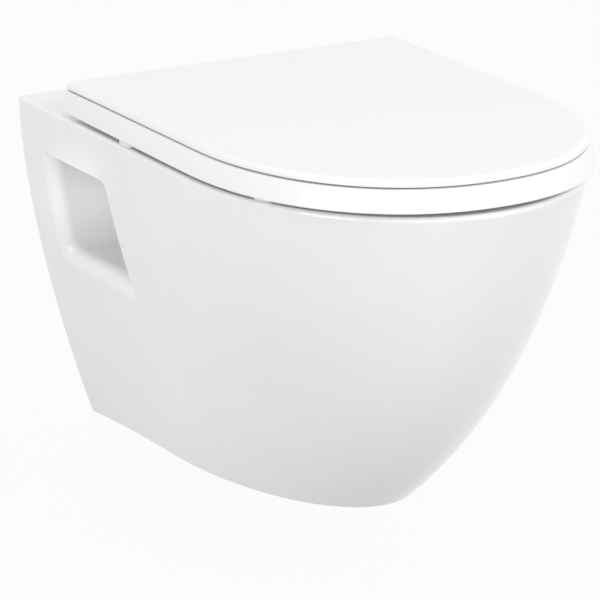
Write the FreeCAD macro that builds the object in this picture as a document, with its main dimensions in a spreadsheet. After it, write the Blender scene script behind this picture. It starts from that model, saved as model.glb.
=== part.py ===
"""Wall hung toilet: china pan, seat ring, lid, lift-off soft-close hinge and wall fixings.

Millimetres. +Z is up, the wall is the plane y = 0 and the pan reaches out along -Y.
The origin is midway between the two wall fixing holes, on the wall.
"""
import FreeCAD, Part
import math
import os
import re
from FreeCAD import Placement, Rotation, Vector

doc = FreeCAD.newDocument("wall_hung_toilet")
sheet = doc.addObject("Spreadsheet::Sheet", "sizes")

SIZES = [
    # pan, outside
    ("over_inlet", 17.5, "from the top of the flush inlet's bore up to the top of the rim"),
    ("pan_height", 316.5, "from the rim down to the flat underside"),
    ("pan_projection", 541.0, "from the wall to the front of the rim"),
    ("rim_half_width", 178.0, "half of the width at the rim, by the wall"),
    ("foot_half_width", 106.5, "half of the width at the underside, by the wall"),
    ("side_curve", 1.58, "power of the sides' inward sweep"),
    ("foot_projection", 355.0, "from the wall to the front of the underside"),
    ("front_straightness", 0.51, "straight share of the front line's sweep"),
    ("front_curve", 3.2, "power of the rest of the front line's sweep"),
    ("rim_straight", 323.0, "from the wall to where the rim starts to round"),
    ("foot_straight", 142.5, "the same at the underside"),
    ("foot_pinch", 6.6, "how much the underside narrows away from the wall"),
    ("rim_edge_round", 3.5, "outer top edge"),
    ("foot_edge_round", 5.0, "underside edge"),
    ("rear_ground_off", 0.3, "ground off the casting so that its rear is flat"),
    # pan, inside
    ("skirt_wall", 11.0, "china of the skirt"),
    ("deck_wall", 14.0, "china of the rim and deck"),
    ("foot_wall", 10.0, "china of the underside"),
    ("bowl_wall", 10.0, "china of the bowl and passages"),
    ("bowl_side_rim", 38.0, "side of the rim to the mouth of the bowl"),
    ("bowl_front_rim", 40.0, "front of the rim to the mouth of the bowl"),
    ("bowl_rear", 159.0, "from the wall to the mouth of the bowl"),
    ("bowl_mouth_round", 7.0, "edge of the mouth"),
    ("throat_centre", 290.0, "from the wall to the middle of the throat"),
    ("throat_half_width", 30.0, "bottom of the bowl, across"),
    ("throat_half_length", 33.0, "bottom of the bowl, along"),
    ("passage_bore", 27.0, "radius of the trap's passage"),
    ("passage_wall", 9.0, "china round the passage"),
    ("passage_bend", 45.0, "radius of each bend, to its middle"),
    ("passage_over_foot", 37.5, "underside to the middle of the lowest stretch"),
    ("passage_high", 175.0, "rim to the middle of the stretch over the weir"),
    ("passage_climb", 60.0, "slope of the climb, degrees"),
    # connections at the wall
    ("socket_recess", 3.0, "inlet and spigot stop short of the wall"),
    ("inlet_above_fixings", 35.0, "middle of the flush inlet"),
    ("inlet_bore", 27.5, "radius that takes the 55 mm flush pipe seal"),
    ("inlet_depth", 42.0, "length of that bore"),
    ("outlet_below_fixings", 100.0, "middle of the waste spigot"),
    ("spigot_radius", 51.0, "outside of the waste spigot"),
    ("spigot_wall", 8.0, "china of the spigot"),
    ("spigot_length", 50.0, "straight length of the spigot"),
    ("spigot_cone", 28.0, "length of the cone from passage to spigot"),
    ("channel_half_width", 30.0, "flush channel from inlet to bowl"),
    ("channel_height", 38.0, "flush channel"),
    ("slot_height", 14.0, "slot where the flush enters the bowl"),
    # wall fixings
    ("fixing_spacing", 180.0, "between the two wall studs"),
    ("stud_bore", 6.5, "bore of the sleeve for an M12 stud"),
    ("fixing_hole", 14.0, "hole in the china"),
    ("fixing_boss", 24.0, "china round the hole"),
    ("sleeve_fit", 0.15, "sleeve to china"),
    ("sleeve_flange", 19.0, "radius"),
    ("sleeve_flange_thick", 3.0, "under the washer"),
    ("washer_radius", 17.0, "washer"),
    ("washer_thick", 2.5, "washer"),
    ("nut_across", 19.0, "M12 nut over its flats"),
    ("nut_thick", 10.0, "M12 nut"),
    ("nut_bore", 6.2, "radius"),
    ("washer_bore", 6.5, "radius"),
    ("cap_wall", 1.6, "cover cap"),
    ("cap_length", 21.0, "cover cap"),
    ("cap_fit", 0.3, "cap to sleeve flange"),
    # side pockets
    ("cap_room", 7.1, "cover cap to the pocket's inner face"),
    ("pocket_back", 50.0, "from the wall to the pocket's back face"),
    ("pocket_front", 158.0, "from the wall to the front edge at the top"),
    ("pocket_lean", 16.0, "how much further the front edge is at the bottom"),
    ("pocket_above", 36.0, "fixing holes to the pocket's top"),
    ("pocket_below", 56.0, "fixing holes to the pocket's bottom"),
    ("pocket_corner", 7.0, "corners seen from the side"),
    ("pocket_soft_edge", 13.0, "rear and lower edges of the mouth"),
    ("pocket_sharp_edge", 1.6, "top and front edges of the mouth"),
    # seat and lid
    ("seat_gap", 4.6, "rim to the seat's underside"),
    ("seat_top", 24.0, "rim to the seat's top face"),
    ("lid_gap", 1.6, "seat to the lid's edge"),
    ("lid_edge_height", 7.6, "lid edge to lid top"),
    ("lid_side_inset", 5.0, "side of the rim to the lid's side"),
    ("lid_front_inset", 6.5, "front of the rim to the lid's front"),
    ("lid_rear", 82.0, "wall to the rear edge of lid and seat"),
    ("lid_straight_lead", 2.0, "the lid starts to round this much further out than the rim"),
    ("lid_power", 2.16, "power of the rounded front"),
    ("lid_shoulder", 5.5, "rolled top edge"),
    ("lid_corner", 7.0, "rear corners seen from above"),
    ("lid_skin", 4.0, "moulded thickness"),
    ("seat_flare", 7.4, "seat's lower edge outside its upper edge"),
    ("seat_skin", 7.0, "moulded thickness of the seat"),
    ("seat_over_side", 32.0, "seat's opening inside the bowl's mouth, at the sides"),
    ("seat_over_front", 23.0, "the same at the front"),
    ("seat_over_rear", 59.0, "the same at the rear"),
    ("seat_inner_round", 7.0, "rounded inner edge"),
    ("buffer_length", 20.0, "seat buffer"),
    ("buffer_width", 12.0, "seat buffer"),
    ("buffer_corner", 5.4, "seat buffer's upright corners"),
    ("buffer_lift", 0.2, "buffer to rim"),
    ("side_buffer_ahead", 120.0, "lid's rear edge to the side buffers"),
    ("side_buffer_inset", 8.6, "seat edge to the middle of a side buffer"),
    ("front_buffer_back", 123.0, "lid's front to the front buffers"),
    ("front_buffer_inset", 19.1, "lid's side to the front buffers"),
    ("front_buffer_turn", 19.0, "degrees"),
    ("lid_buffer_radius", 6.0, "lid buffer"),
    ("lid_buffer_inset", 37.0, "lid's side to the lid buffers"),
    ("lid_buffer_ahead", 158.0, "lid's rear edge to the rear pair"),
    ("lid_buffer_back", 129.5, "lid's front to the front pair"),
    # hinge
    ("hinge_ahead", 7.0, "lid's rear edge to the hinge axis"),
    ("hinge_above_rim", 13.0, "hinge axis over the rim"),
    ("barrel_radius", 6.8, "hinge barrels"),
    ("pin_radius", 2.5, "hinge pins and damper shafts"),
    ("pin_play", 0.08, "radial running clearance"),
    ("side_play", 0.8, "between neighbouring barrels"),
    ("hinge_spacing", 155.0, "between the two posts"),
    ("post_ahead", 16.0, "hinge axis to the posts"),
    ("post_radius", 5.0, "post"),
    ("post_height", 12.0, "above the rim"),
    ("post_groove", 1.2, "depth of the catch groove"),
    ("groove_margin", 1.0, "the groove is this much lower than the button, top and bottom"),
    ("post_play", 0.3, "block to post"),
    ("stud_radius", 3.0, "post's threaded stud"),
    ("deck_hole", 8.0, "radius of the holes in the deck"),
    ("expander_length", 20.0, "rubber sleeve below the deck's top"),
    ("expander_fit", 0.2, "rubber sleeve to its hole"),
    ("cone_length", 8.0, "brass cone nut"),
    ("cone_tip_wall", 2.5, "brass round the stud at the cone's narrow end"),
    ("plate_radius", 17.0, "base plate"),
    ("plate_thick", 2.0, "base plate"),
    ("gasket_thick", 1.0, "under the base plate"),
    ("block_width", 31.0, "hinge block along the axis"),
    ("block_ahead", 13.0, "posts to the block's front face"),
    ("block_behind", 5.5, "hinge axis to the block's rear face"),
    ("block_lift", 0.2, "block to base plate"),
    ("lid_barrel", 26.0, "length of each lid barrel"),
    ("damper_radius", 5.0, "damper housing"),
    ("damper_length", 22.0, "damper housing"),
    ("shaft_in_block", 13.0, "pin or shaft held in the block"),
    ("shaft_in_damper", 7.0, "shaft inside the damper"),
    ("pin_in_barrel", 16.0, "plain pin inside a barrel"),
    ("pin_end_room", 1.0, "beyond the end of a pin or shaft"),
    ("button_width", 13.0, "release button"),
    ("button_height", 5.2, "release button"),
    ("button_length", 7.0, "release button"),
    ("button_stroke", 2.0, "release button"),
    ("button_proud", 1.0, "stands out of the block"),
    ("button_low", 4.2, "above the rim"),
    ("button_play", 0.15, "all round"),
    ("spring_radius", 2.0, "button spring"),
    ("spring_length", 9.0, "button spring at rest"),
    # drawing
    ("overrun", 6.0, "how far a cutter starts and ends outside what it cuts"),
]
TIED = [
    ("rim_above_fixings", "inlet_above_fixings + inlet_bore + over_inlet", "fixing holes to the rim's top"),
    ("bowl_half_width", "rim_half_width - bowl_side_rim", "mouth of the bowl"),
    ("bowl_half_length", "(pan_projection - bowl_front_rim - bowl_rear) / 2", "mouth of the bowl"),
    ("bowl_centre", "bowl_rear + bowl_half_length", "wall to the middle of the mouth"),
    ("passage_low", "pan_height - passage_over_foot", "rim to the middle of the lowest stretch"),
    ("bowl_depth", "passage_low - passage_bend", "rim to the throat"),
    ("pocket_inner", "fixing_spacing / 2 - sleeve_flange - cap_fit - cap_wall - cap_room",
     "middle plane to a pocket's inner face"),
    ("lid_half_width", "rim_half_width - lid_side_inset", "lid"),
    ("lid_front", "pan_projection - lid_front_inset", "wall to the lid's front"),
    ("lid_straight", "rim_straight + lid_straight_lead", "wall to where the lid starts to round"),
    ("seat_hole_half_width", "bowl_half_width - seat_over_side", "opening of the seat ring"),
    ("seat_hole_front", "bowl_rear + 2 * bowl_half_length - seat_over_front", "wall to its front"),
    ("seat_hole_rear", "bowl_rear + seat_over_rear", "wall to its rear"),
    ("side_buffer", "lid_rear + side_buffer_ahead", "wall to the side buffers"),
    ("front_buffer", "lid_front - front_buffer_back", "wall to the front buffers"),
    ("front_buffer_half", "lid_half_width - front_buffer_inset", "middle plane to the front buffers"),
    ("lid_buffer_half", "lid_half_width - lid_buffer_inset", "middle plane to the lid buffers"),
    ("lid_buffer_rear", "lid_rear + lid_buffer_ahead", "wall to the rear pair"),
    ("lid_buffer_front", "lid_front - lid_buffer_back", "wall to the front pair"),
    ("hinge_behind", "lid_rear + hinge_ahead", "wall to the hinge axis"),
    ("post_behind", "hinge_behind + post_ahead", "wall to the posts"),
    ("block_front", "post_behind + block_ahead", "wall to the block's front face"),
    ("block_rear", "hinge_behind - block_behind", "wall to the block's rear face"),
]
ROWS = SIZES + [(alias, "=" + formula, note) for alias, formula, note in TIED]
for row, (alias, value, note) in enumerate(ROWS, start=1):
    sheet.set(f"A{row}", alias)
    sheet.set(f"B{row}", str(value))
    sheet.setAlias(f"B{row}", alias)
    sheet.set(f"C{row}", note)
doc.recompute()
ALIASES = {alias for alias, value, note in ROWS}


class Sizes:
    """The sheet's cells by name."""

    def __getattr__(self, alias):
        return float(sheet.get(alias))


size = Sizes()
rim_z = size.rim_above_fixings
SIDES = {"left": -1, "right": 1}
SLACK = 1.0  # taken round a piece when its edges are picked, and past a face that is cut through


# ---------------------------------------------------------------- drawing helpers
def bound(text):
    """An expression in which each size stands for its cell."""
    return re.sub(r"[a-z_]+", lambda word: "sizes." + word[0] if word[0] in ALIASES else word[0], text)


TURN = {
    "+z": Rotation(),
    "-z": Rotation(Vector(1, 0, 0), 180),
    "-y": Rotation(Vector(1, 0, 0), 90),
    "+y": Rotation(Vector(1, 0, 0), -90),
    "+x": Rotation(Vector(0, 1, 0), 90),
    "-x": Rotation(Vector(0, 1, 0), -90),
}


def place(thing, x, y, z, direction="+z"):
    """Set an object's Placement from three expressions and a direction."""
    thing.Placement = Placement(Vector(), TURN[direction])
    for axis, text in zip("xyz", (x, y, z)):
        thing.setExpression(f".Placement.Base.{axis}", bound(text))
    return thing


def rod(name, radius, length, x, y, z, direction):
    """A cylinder that starts at a point and runs one way."""
    thing = doc.addObject("Part::Cylinder", name)
    thing.setExpression("Radius", bound(radius))
    thing.setExpression("Height", bound(length))
    return place(thing, x, y, z, direction)


def block(name, length, width, height, x, y, z):
    """A box from its lowest corner."""
    thing = doc.addObject("Part::Box", name)
    for side, text in (("Length", length), ("Width", width), ("Height", height)):
        thing.setExpression(side, bound(text))
    return place(thing, x, y, z)


def cut(name, base, tools):
    """The base without the tools."""
    tool = tools[0] if len(tools) == 1 else join(name + "_tools", tools)
    thing = doc.addObject("Part::Cut", name)
    thing.Base = base
    thing.Tool = tool
    return thing


def join(name, things):
    """One solid out of several."""
    thing = doc.addObject("Part::MultiFuse", name)
    thing.Shapes = things
    return thing


def group(name, things):
    """Separate solids that share a name."""
    thing = doc.addObject("Part::Compound", name)
    thing.Links = things
    return thing


def moulding(name, shape):
    """A free-form piece whose shape is worked out below."""
    thing = doc.addObject("Part::Feature", name)
    thing.Shape = shape
    thing.Placement = Placement()
    return thing


SAMPLES = 9


def samples(edge):
    """Points along an edge, or the one point that a degenerate edge has."""
    return [edge.Vertexes[0].Point] if edge.Degenerated else edge.discretize(SAMPLES)


def rounded(shape, radius, wanted, also=lambda edge: True):
    """Fillet the edges whose every sampled point is wanted."""
    edges = [edge for edge in shape.Edges if all(wanted(point) for point in samples(edge))]
    return shape.makeFillet(radius, [edge for edge in edges if also(edge) and not edge.Degenerated])


def off_wall(edge):
    """Whether an edge leaves the wall plane."""
    return min(point.y for point in samples(edge)) < -SLACK


NEARNESS = 0.05


def near(value, target):
    """Whether a coordinate lies on a plane."""
    return abs(value - target) < NEARNESS


def prism(points, x_from, x_to):
    """A side-view polygon of (y, z) points carried along X."""
    corners = [Vector(x_from, y, z) for y, z in points]
    face = Part.Face(Part.makePolygon(corners + corners[:1]))
    return face.extrude(Vector(x_to - x_from, 0, 0))


def box(x_range, y_range, z_range):
    """A box between two corners."""
    low = Vector(min(x_range), min(y_range), min(z_range))
    high = Vector(max(x_range), max(y_range), max(z_range))
    return Part.makeBox(high.x - low.x, high.y - low.y, high.z - low.z, low)


# ---------------------------------------------------------------- pan: outside
FOOT_SHARES = (0.0, 0.15, 0.3, 0.45, 0.6, 0.72, 0.84, 0.93, 1.0)
SIDE_SWELL = 0.36


def pan_outline(depth, inset=0.0, back=size.rear_ground_off):
    """The pan's plan at a depth below the rim: the rear, two sides and half an ellipse."""
    share = depth / size.pan_height
    sweep = size.front_straightness * share + (1 - size.front_straightness) * share ** size.front_curve
    at_wall = size.rim_half_width - (size.rim_half_width - size.foot_half_width) * share ** size.side_curve
    half = at_wall - size.foot_pinch * share
    front = -size.pan_projection + (size.pan_projection - size.foot_projection) * sweep + inset
    straight = -size.rim_straight + (size.rim_straight - size.foot_straight) * sweep
    at_wall -= inset
    half -= inset
    z = rim_z - depth
    ellipse = Part.Ellipse(Vector(0, front, z), Vector(half, straight, z), Vector(0, straight, z))
    if half > straight - front:
        ellipse = Part.Ellipse(Vector(half, straight, z), Vector(0, front, z), Vector(0, straight, z))
    left, right = Vector(-half, straight, z), Vector(half, straight, z)
    start, end = ellipse.parameter(left), ellipse.parameter(right)
    nose = Part.ArcOfEllipse(ellipse, start, end)
    if nose.value((nose.FirstParameter + nose.LastParameter) / 2).y > straight:
        nose = Part.ArcOfEllipse(ellipse, end, start)
    edges = [nose.toShape(), Part.makeLine(Vector(-at_wall, back, z), Vector(at_wall, back, z))]
    for sign in (-1, 1):
        curve = Part.BezierCurve()
        poles = [(at_wall, back), (half, straight * SIDE_SWELL), (half, straight)]
        curve.setPoles([Vector(sign * x, y, z) for x, y in poles])
        edges.append(curve.toShape())
    return Part.Wire(Part.__sortEdges__(edges))


def pan_hull(top, bottom, **where):
    """The pan's outer form, or the hollow inside it, between two depths."""
    depths = [top + (bottom - top) * share for share in FOOT_SHARES]
    return Part.makeLoft([pan_outline(depth, **where) for depth in depths], True, False)


foot_z = rim_z - size.pan_height
past_side = size.rim_half_width + size.seat_flare + size.overrun
china = pan_hull(0.0, size.pan_height)
china = rounded(china, size.foot_edge_round, lambda point: near(point.z, foot_z), off_wall)
china = rounded(china, size.rim_edge_round, lambda point: near(point.z, rim_z), off_wall)
china = china.cut(box((-past_side, past_side), (0, 2 * size.overrun),
                      (foot_z - size.overrun, rim_z + size.overrun)))

# ---------------------------------------------------------------- pan: side pockets
pocket_z = (size.pocket_above, -size.pocket_below)


def pocket(sign, grow):
    """A side pocket, or with grow the china lining round it."""
    top, bottom = pocket_z[0] + grow, pocket_z[1] - grow
    rear = -size.pocket_back + grow
    front = -size.pocket_front - grow
    shape = prism(
        [(rear, top), (front, top), (front - size.pocket_lean, bottom), (rear, bottom)],
        sign * (size.pocket_inner - grow),
        sign * past_side,
    )
    middle_y, middle_z = (rear + front) / 2, (top + bottom) / 2

    def lengthwise_corner(edge):
        """Upper front and lower rear: the other two stay sharp, so the two kinds of edge can part there."""
        y, z = edge.CenterOfMass.y, edge.CenterOfMass.z
        return edge.BoundBox.XLength > grow + SLACK and (y < middle_y) == (z > middle_z)

    corners = [edge for edge in shape.Edges if lengthwise_corner(edge)]
    return shape.makeFillet(size.pocket_corner + grow, corners)


def mouth(edge):
    """An edge between the skirt and a pocket."""
    front = -size.pocket_front - size.pocket_lean
    return all(
        abs(point.x) > size.pocket_inner + SLACK
        and pocket_z[1] - SLACK < point.z < pocket_z[0] + SLACK
        and front - SLACK < point.y < SLACK - size.pocket_back
        for point in samples(edge)
    )


def soft(edge):
    """Of a mouth's edges, the rear and lower ones, and the corner between them."""
    middle = samples(edge)[SAMPLES // 2]
    behind = middle.y > -size.pocket_back - size.pocket_corner and middle.z < pocket_z[0] - size.pocket_corner
    below = middle.z < pocket_z[1] + size.pocket_corner and middle.y > -size.pocket_front
    return behind or below


for sign in SIDES.values():
    china = china.cut(pocket(sign, 0.0))
sharp_pockets = moulding("pan_with_sharp_pockets", china)
pockets = doc.addObject("Part::Fillet", "pan_with_pockets")
pockets.Base = sharp_pockets
pockets.Edges = [
    (number, radius, radius)
    for number, edge in enumerate(china.Edges, start=1) if mouth(edge)
    for radius in [size.pocket_soft_edge if soft(edge) else size.pocket_sharp_edge]
]
doc.recompute()
china = pockets.Shape

# ---------------------------------------------------------------- pan: bowl
BOWL_SHARES = (0.0, 0.2, 0.4, 0.6, 0.75, 0.87, 0.95, 1.0)
BOWL_FULLNESS = 2.4
BOWL_ROUNDNESS = 0.625
BOWL_DRIFT = 1.5


def bowl_form(wall):
    """Ellipses that shrink from the mouth to the throat, wall thicker all round."""
    rings = []
    for share in BOWL_SHARES:
        width = (1 - share ** BOWL_FULLNESS) ** BOWL_ROUNDNESS
        half_x = size.throat_half_width + (size.bowl_half_width - size.throat_half_width) * width + wall
        half_y = size.throat_half_length + (size.bowl_half_length - size.throat_half_length) * width + wall
        middle = -size.bowl_centre + (size.bowl_centre - size.throat_centre) * share ** BOWL_DRIFT
        z = rim_z - share * (size.bowl_depth + wall)
        centre = Vector(0, middle, z)
        ring = Part.Ellipse(centre + Vector(0, half_y, 0), centre + Vector(half_x, 0, 0), centre)
        rings.append(Part.Wire(ring.toShape()))
    return Part.makeLoft(rings, True, False)


bowl_space = bowl_form(0.0)
china = china.cut(bowl_space)
mouth_front = -size.bowl_centre - size.bowl_half_length
china = rounded(china, size.bowl_mouth_round, lambda point: near(point.z, rim_z)
                and abs(point.x) < size.bowl_half_width + SLACK
                and mouth_front - SLACK < point.y < SLACK - size.bowl_rear)

# ---------------------------------------------------------------- pan: trap and spigot
low_z = rim_z - size.passage_low
high_z = rim_z - size.passage_high
throat_z = rim_z - size.bowl_depth
outlet_z = -size.outlet_below_fixings
climb = math.radians(size.passage_climb)
bend = size.passage_bend


def passage(radius, start_z):
    """The trap: down from the throat, up over the weir, level towards the wall."""
    down = Vector(0, -size.throat_centre, low_z + bend)
    floor = Vector(0, down.y + bend, low_z)
    rise = Vector(0, floor.y + bend * math.sin(climb), low_z + bend * (1 - math.cos(climb)))
    crest_z = high_z - bend * (1 - math.cos(climb))
    crest = Vector(0, rise.y + (crest_z - rise.z) / math.tan(climb), crest_z)
    level_off = Vector(0, crest.y + bend * math.sin(climb), high_z)
    finish = Vector(0, -size.socket_recess - size.spigot_length - size.spigot_cone, high_z)

    def arc(begin, centre, angle_from, angle_to, end):
        middle = (angle_from + angle_to) / 2
        via = centre + Vector(0, math.cos(middle) * bend, math.sin(middle) * bend)
        return Part.Arc(begin, via, end).toShape()

    first = arc(down, down + Vector(0, bend, 0), math.pi, 1.5 * math.pi, floor)
    second = arc(floor, floor + Vector(0, 0, bend), -math.pi / 2, -math.pi / 2 + climb, rise)
    third = arc(crest, level_off - Vector(0, 0, bend), math.pi / 2 + climb, math.pi / 2, level_off)
    entry = Part.makeLine(Vector(0, down.y, start_z), down)
    slope, level = Part.makeLine(rise, crest), Part.makeLine(level_off, finish)
    path = Part.Wire([entry, first, second, slope, third, level])
    ring = Part.Wire(Part.Circle(Vector(0, down.y, start_z), Vector(0, 0, -1), radius).toShape())
    return path.makePipeShell([ring], True, False)


def spigot(wall):
    """Cone and spigot, or with no wall the bore through them."""
    spigot_back = -size.socket_recess
    neck = spigot_back - size.spigot_length
    bore = size.spigot_radius - size.spigot_wall
    past = 0.0 if wall else size.overrun
    cone_radius = size.passage_bore + wall
    outer = size.spigot_radius if wall else bore
    ends = [Part.Circle(Vector(0, neck - size.spigot_cone, high_z), Vector(0, 1, 0), cone_radius),
            Part.Circle(Vector(0, neck, outlet_z), Vector(0, 1, 0), outer)]
    cone = Part.makeLoft([Part.Wire(end.toShape()) for end in ends], True, True)
    straight = Part.makeCylinder(outer, size.spigot_length + past, Vector(0, neck, outlet_z), Vector(0, 1, 0))
    return cone.fuse(straight)


passage_outside = passage(size.passage_bore + size.passage_wall, throat_z + size.overrun)
passage_inside = passage(size.passage_bore, throat_z + size.overrun)

# ---------------------------------------------------------------- pan: flush inlet and channel
inlet_z = size.inlet_above_fixings
channel_rear = -size.socket_recess - size.inlet_depth
channel_front = -size.bowl_centre + size.bowl_half_length
channel_top = rim_z - size.deck_wall - size.bowl_wall
channel_low = channel_top - size.channel_height
half = size.channel_half_width
wall = size.bowl_wall
SLOT_REACH = 2.2
inlet_outside = Part.makeCylinder(size.inlet_bore + wall, size.inlet_depth + wall,
                                  Vector(0, -size.socket_recess, inlet_z), Vector(0, -1, 0))
inlet_inside = Part.makeCylinder(size.inlet_bore, size.inlet_depth + size.overrun,
                                 Vector(0, size.overrun - size.socket_recess, inlet_z), Vector(0, -1, 0))
channel_outside = box((-half - wall, half + wall), (channel_rear, channel_front),
                      (channel_low - wall, rim_z - size.deck_wall / 2))
channel_inside = box((-half, half), (channel_rear - wall / 2 + size.overrun, channel_front - wall / 2),
                     (channel_low, channel_top))
slot_z = channel_top - size.slot_height
slot = box((-half, half), (channel_front - wall, channel_front - SLOT_REACH * wall), (slot_z, channel_top))

# ---------------------------------------------------------------- pan: put together
lining = [
    bowl_form(size.bowl_wall),
    passage_outside,
    spigot(size.passage_wall),
    inlet_outside,
    channel_outside,
]
for sign in SIDES.values():
    lining.append(pocket(sign, size.bowl_wall))
    lining.append(Part.makeCylinder(size.fixing_boss, size.pocket_back,
                                    Vector(sign * size.fixing_spacing / 2, 0, 0), Vector(0, -1, 0)))
hollow = pan_hull(size.deck_wall, size.pan_height - size.foot_wall, inset=size.skirt_wall, back=size.overrun)
for piece in lining:
    hollow = hollow.cut(piece)
china = china.cut(hollow)
for piece in (passage_inside, spigot(0.0), inlet_inside, channel_inside, slot):
    china = china.cut(piece)
for sign in SIDES.values():
    behind_fixing = Vector(sign * size.fixing_spacing / 2, size.overrun, 0)
    china = china.cut(Part.makeCylinder(size.fixing_hole, size.pocket_back + 2 * size.overrun,
                                        behind_fixing, Vector(0, -1, 0)))
    china = china.cut(Part.makeCylinder(size.deck_hole, size.deck_wall + 2 * size.overrun,
                                        Vector(sign * size.hinge_spacing / 2, -size.post_behind,
                                               rim_z - size.deck_wall - size.overrun)))
pan = moulding("pan", china)

# ---------------------------------------------------------------- seat and lid outlines
FRONT_STEPS = 16


def d_outline(z, grow, rear):
    """The D of seat and lid at a height: rear edge, sides, and a rounded front."""
    half = size.lid_half_width + grow
    straight = -size.lid_straight
    reach = size.lid_front - size.lid_straight + grow
    corner = size.lid_corner
    points = []
    for step in range(FRONT_STEPS + 1):
        angle = math.pi * step / FRONT_STEPS
        across = math.copysign(abs(math.cos(angle)) ** (2 / size.lid_power), -math.cos(angle))
        ahead = abs(math.sin(angle)) ** (2 / size.lid_power)
        points.append(Vector(half * across, straight - reach * ahead, z))
    front = Part.BSplineCurve()
    front.interpolate(Points=points, InitialTangent=Vector(0, -1, 0), FinalTangent=Vector(0, 1, 0))
    edges = [front.toShape(), Part.makeLine(Vector(corner - half, rear, z), Vector(half - corner, rear, z))]
    for sign in (-1, 1):
        begin = Vector(sign * half, rear - corner, z)
        slant = corner * (1 - math.sqrt(0.5))
        middle = Vector(sign * (half - slant), rear - slant, z)
        edges.append(Part.Arc(begin, middle, Vector(sign * (half - corner), rear, z)).toShape())
        edges.append(Part.makeLine(Vector(sign * half, straight, z), begin))
    return Part.Wire(Part.__sortEdges__(edges))


def oval(z, grow):
    """The seat's opening at a height."""
    centre = Vector(0, -(size.seat_hole_front + size.seat_hole_rear) / 2, z)
    length = (size.seat_hole_front - size.seat_hole_rear) / 2 + grow
    width = size.seat_hole_half_width + grow
    ellipse = Part.Ellipse(centre + Vector(0, length, 0), centre + Vector(width, 0, 0), centre)
    return Part.Wire(ellipse.toShape())


def upright(wire, height):
    """A flat outline carried straight up."""
    return Part.Face(wire).extrude(Vector(0, 0, height))


seat_low = rim_z + size.seat_gap
seat_high = rim_z + size.seat_top
lid_low = seat_high + size.lid_gap
lid_high = lid_low + size.lid_edge_height
rear_y = -size.lid_rear
axis_y = -size.hinge_behind
axis_z = rim_z + size.hinge_above_rim
block_near = (size.hinge_spacing - size.block_width) / 2
block_far = (size.hinge_spacing + size.block_width) / 2
seat_barrel_near = block_near - size.side_play
lid_barrel_near = block_far + size.side_play
EDGE_BREAK = 1.5


def barrel(sign, start, length, radius):
    """A cylinder on the hinge axis, from one distance off the middle plane to a further one."""
    return Part.makeCylinder(radius, length, Vector(sign * start, axis_y, axis_z), Vector(sign, 0, 0))


# ---------------------------------------------------------------- seat ring
RECESS_RIM = 9.0
SEAT_PROUD = 0.3
NOTCH_PLAY = 2.0
seat_lower = d_outline(seat_low, size.seat_flare, rear_y)
seat_upper = d_outline(seat_high, SEAT_PROUD, rear_y)
seat_shape = Part.makeLoft([seat_lower, seat_upper], True, True)
for z in (seat_low, seat_high):
    seat_shape = rounded(seat_shape, EDGE_BREAK, lambda point: near(point.z, z))
seat_shape = seat_shape.cut(upright(oval(seat_low - SLACK, 0.0), size.seat_top))
seat_shape = rounded(seat_shape, size.seat_inner_round, lambda point: near(point.z, seat_high)
                     and abs(point.x) < size.seat_hole_half_width + SLACK
                     and -size.seat_hole_front - SLACK < point.y < SLACK - size.seat_hole_rear)
recess_height = seat_high - size.seat_skin - seat_low
recess = upright(d_outline(seat_low - SLACK, -RECESS_RIM, rear_y), recess_height + SLACK)
recess = recess.cut(upright(oval(seat_low - SLACK, RECESS_RIM), recess_height + SLACK))
recess_rear = -size.block_front - NOTCH_PLAY - RECESS_RIM
recess = recess.cut(box((-past_side, past_side), (recess_rear, 0), (seat_low - 2 * SLACK, seat_high)))
seat_shape = seat_shape.cut(recess)
for sign in SIDES.values():
    notch = box((sign * seat_barrel_near, sign * (lid_barrel_near + size.lid_barrel + NOTCH_PLAY)),
                (-size.block_front - NOTCH_PLAY, 0), (seat_low - SLACK, seat_high + SLACK))
    seat_shape = seat_shape.cut(notch)
seat_pin_bore = Part.makeCylinder(size.pin_radius + size.pin_play, size.pin_in_barrel + size.pin_end_room,
                                  Vector(-seat_barrel_near, axis_y, axis_z), Vector(1, 0, 0))
seat_damper_bore = Part.makeCylinder(size.damper_radius, size.damper_length,
                                     Vector(seat_barrel_near, axis_y, axis_z), Vector(-1, 0, 0))
seat_shape = seat_shape.cut(seat_pin_bore).cut(seat_damper_bore)
moulding("seat_ring", seat_shape)

# ---------------------------------------------------------------- lid
lid_shape = upright(d_outline(lid_low, 0.0, rear_y), size.lid_edge_height)
lid_shape = rounded(lid_shape, size.lid_shoulder, lambda point: near(point.z, lid_high))
lid_recess = size.lid_edge_height - size.lid_skin
lid_shape = lid_shape.cut(upright(d_outline(lid_low - SLACK, -RECESS_RIM, rear_y - RECESS_RIM),
                                  lid_recess + SLACK))
for sign in SIDES.values():
    lug = barrel(sign, lid_barrel_near, size.lid_barrel, size.barrel_radius)
    web = box((sign * lid_barrel_near, sign * (lid_barrel_near + size.lid_barrel)),
              (axis_y - size.barrel_radius, axis_y + size.barrel_radius),
              (axis_z, lid_high - size.lid_skin / 2))
    lid_shape = lid_shape.fuse(lug).fuse(web)
lid_shape = lid_shape.cut(barrel(-1, lid_barrel_near, size.damper_length, size.damper_radius))
lid_shape = lid_shape.cut(barrel(1, lid_barrel_near, size.pin_in_barrel + size.pin_end_room,
                                 size.pin_radius + size.pin_play))
moulding("lid", lid_shape.removeSplitter())

# ---------------------------------------------------------------- buffers
RIM = "rim_above_fixings"


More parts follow.
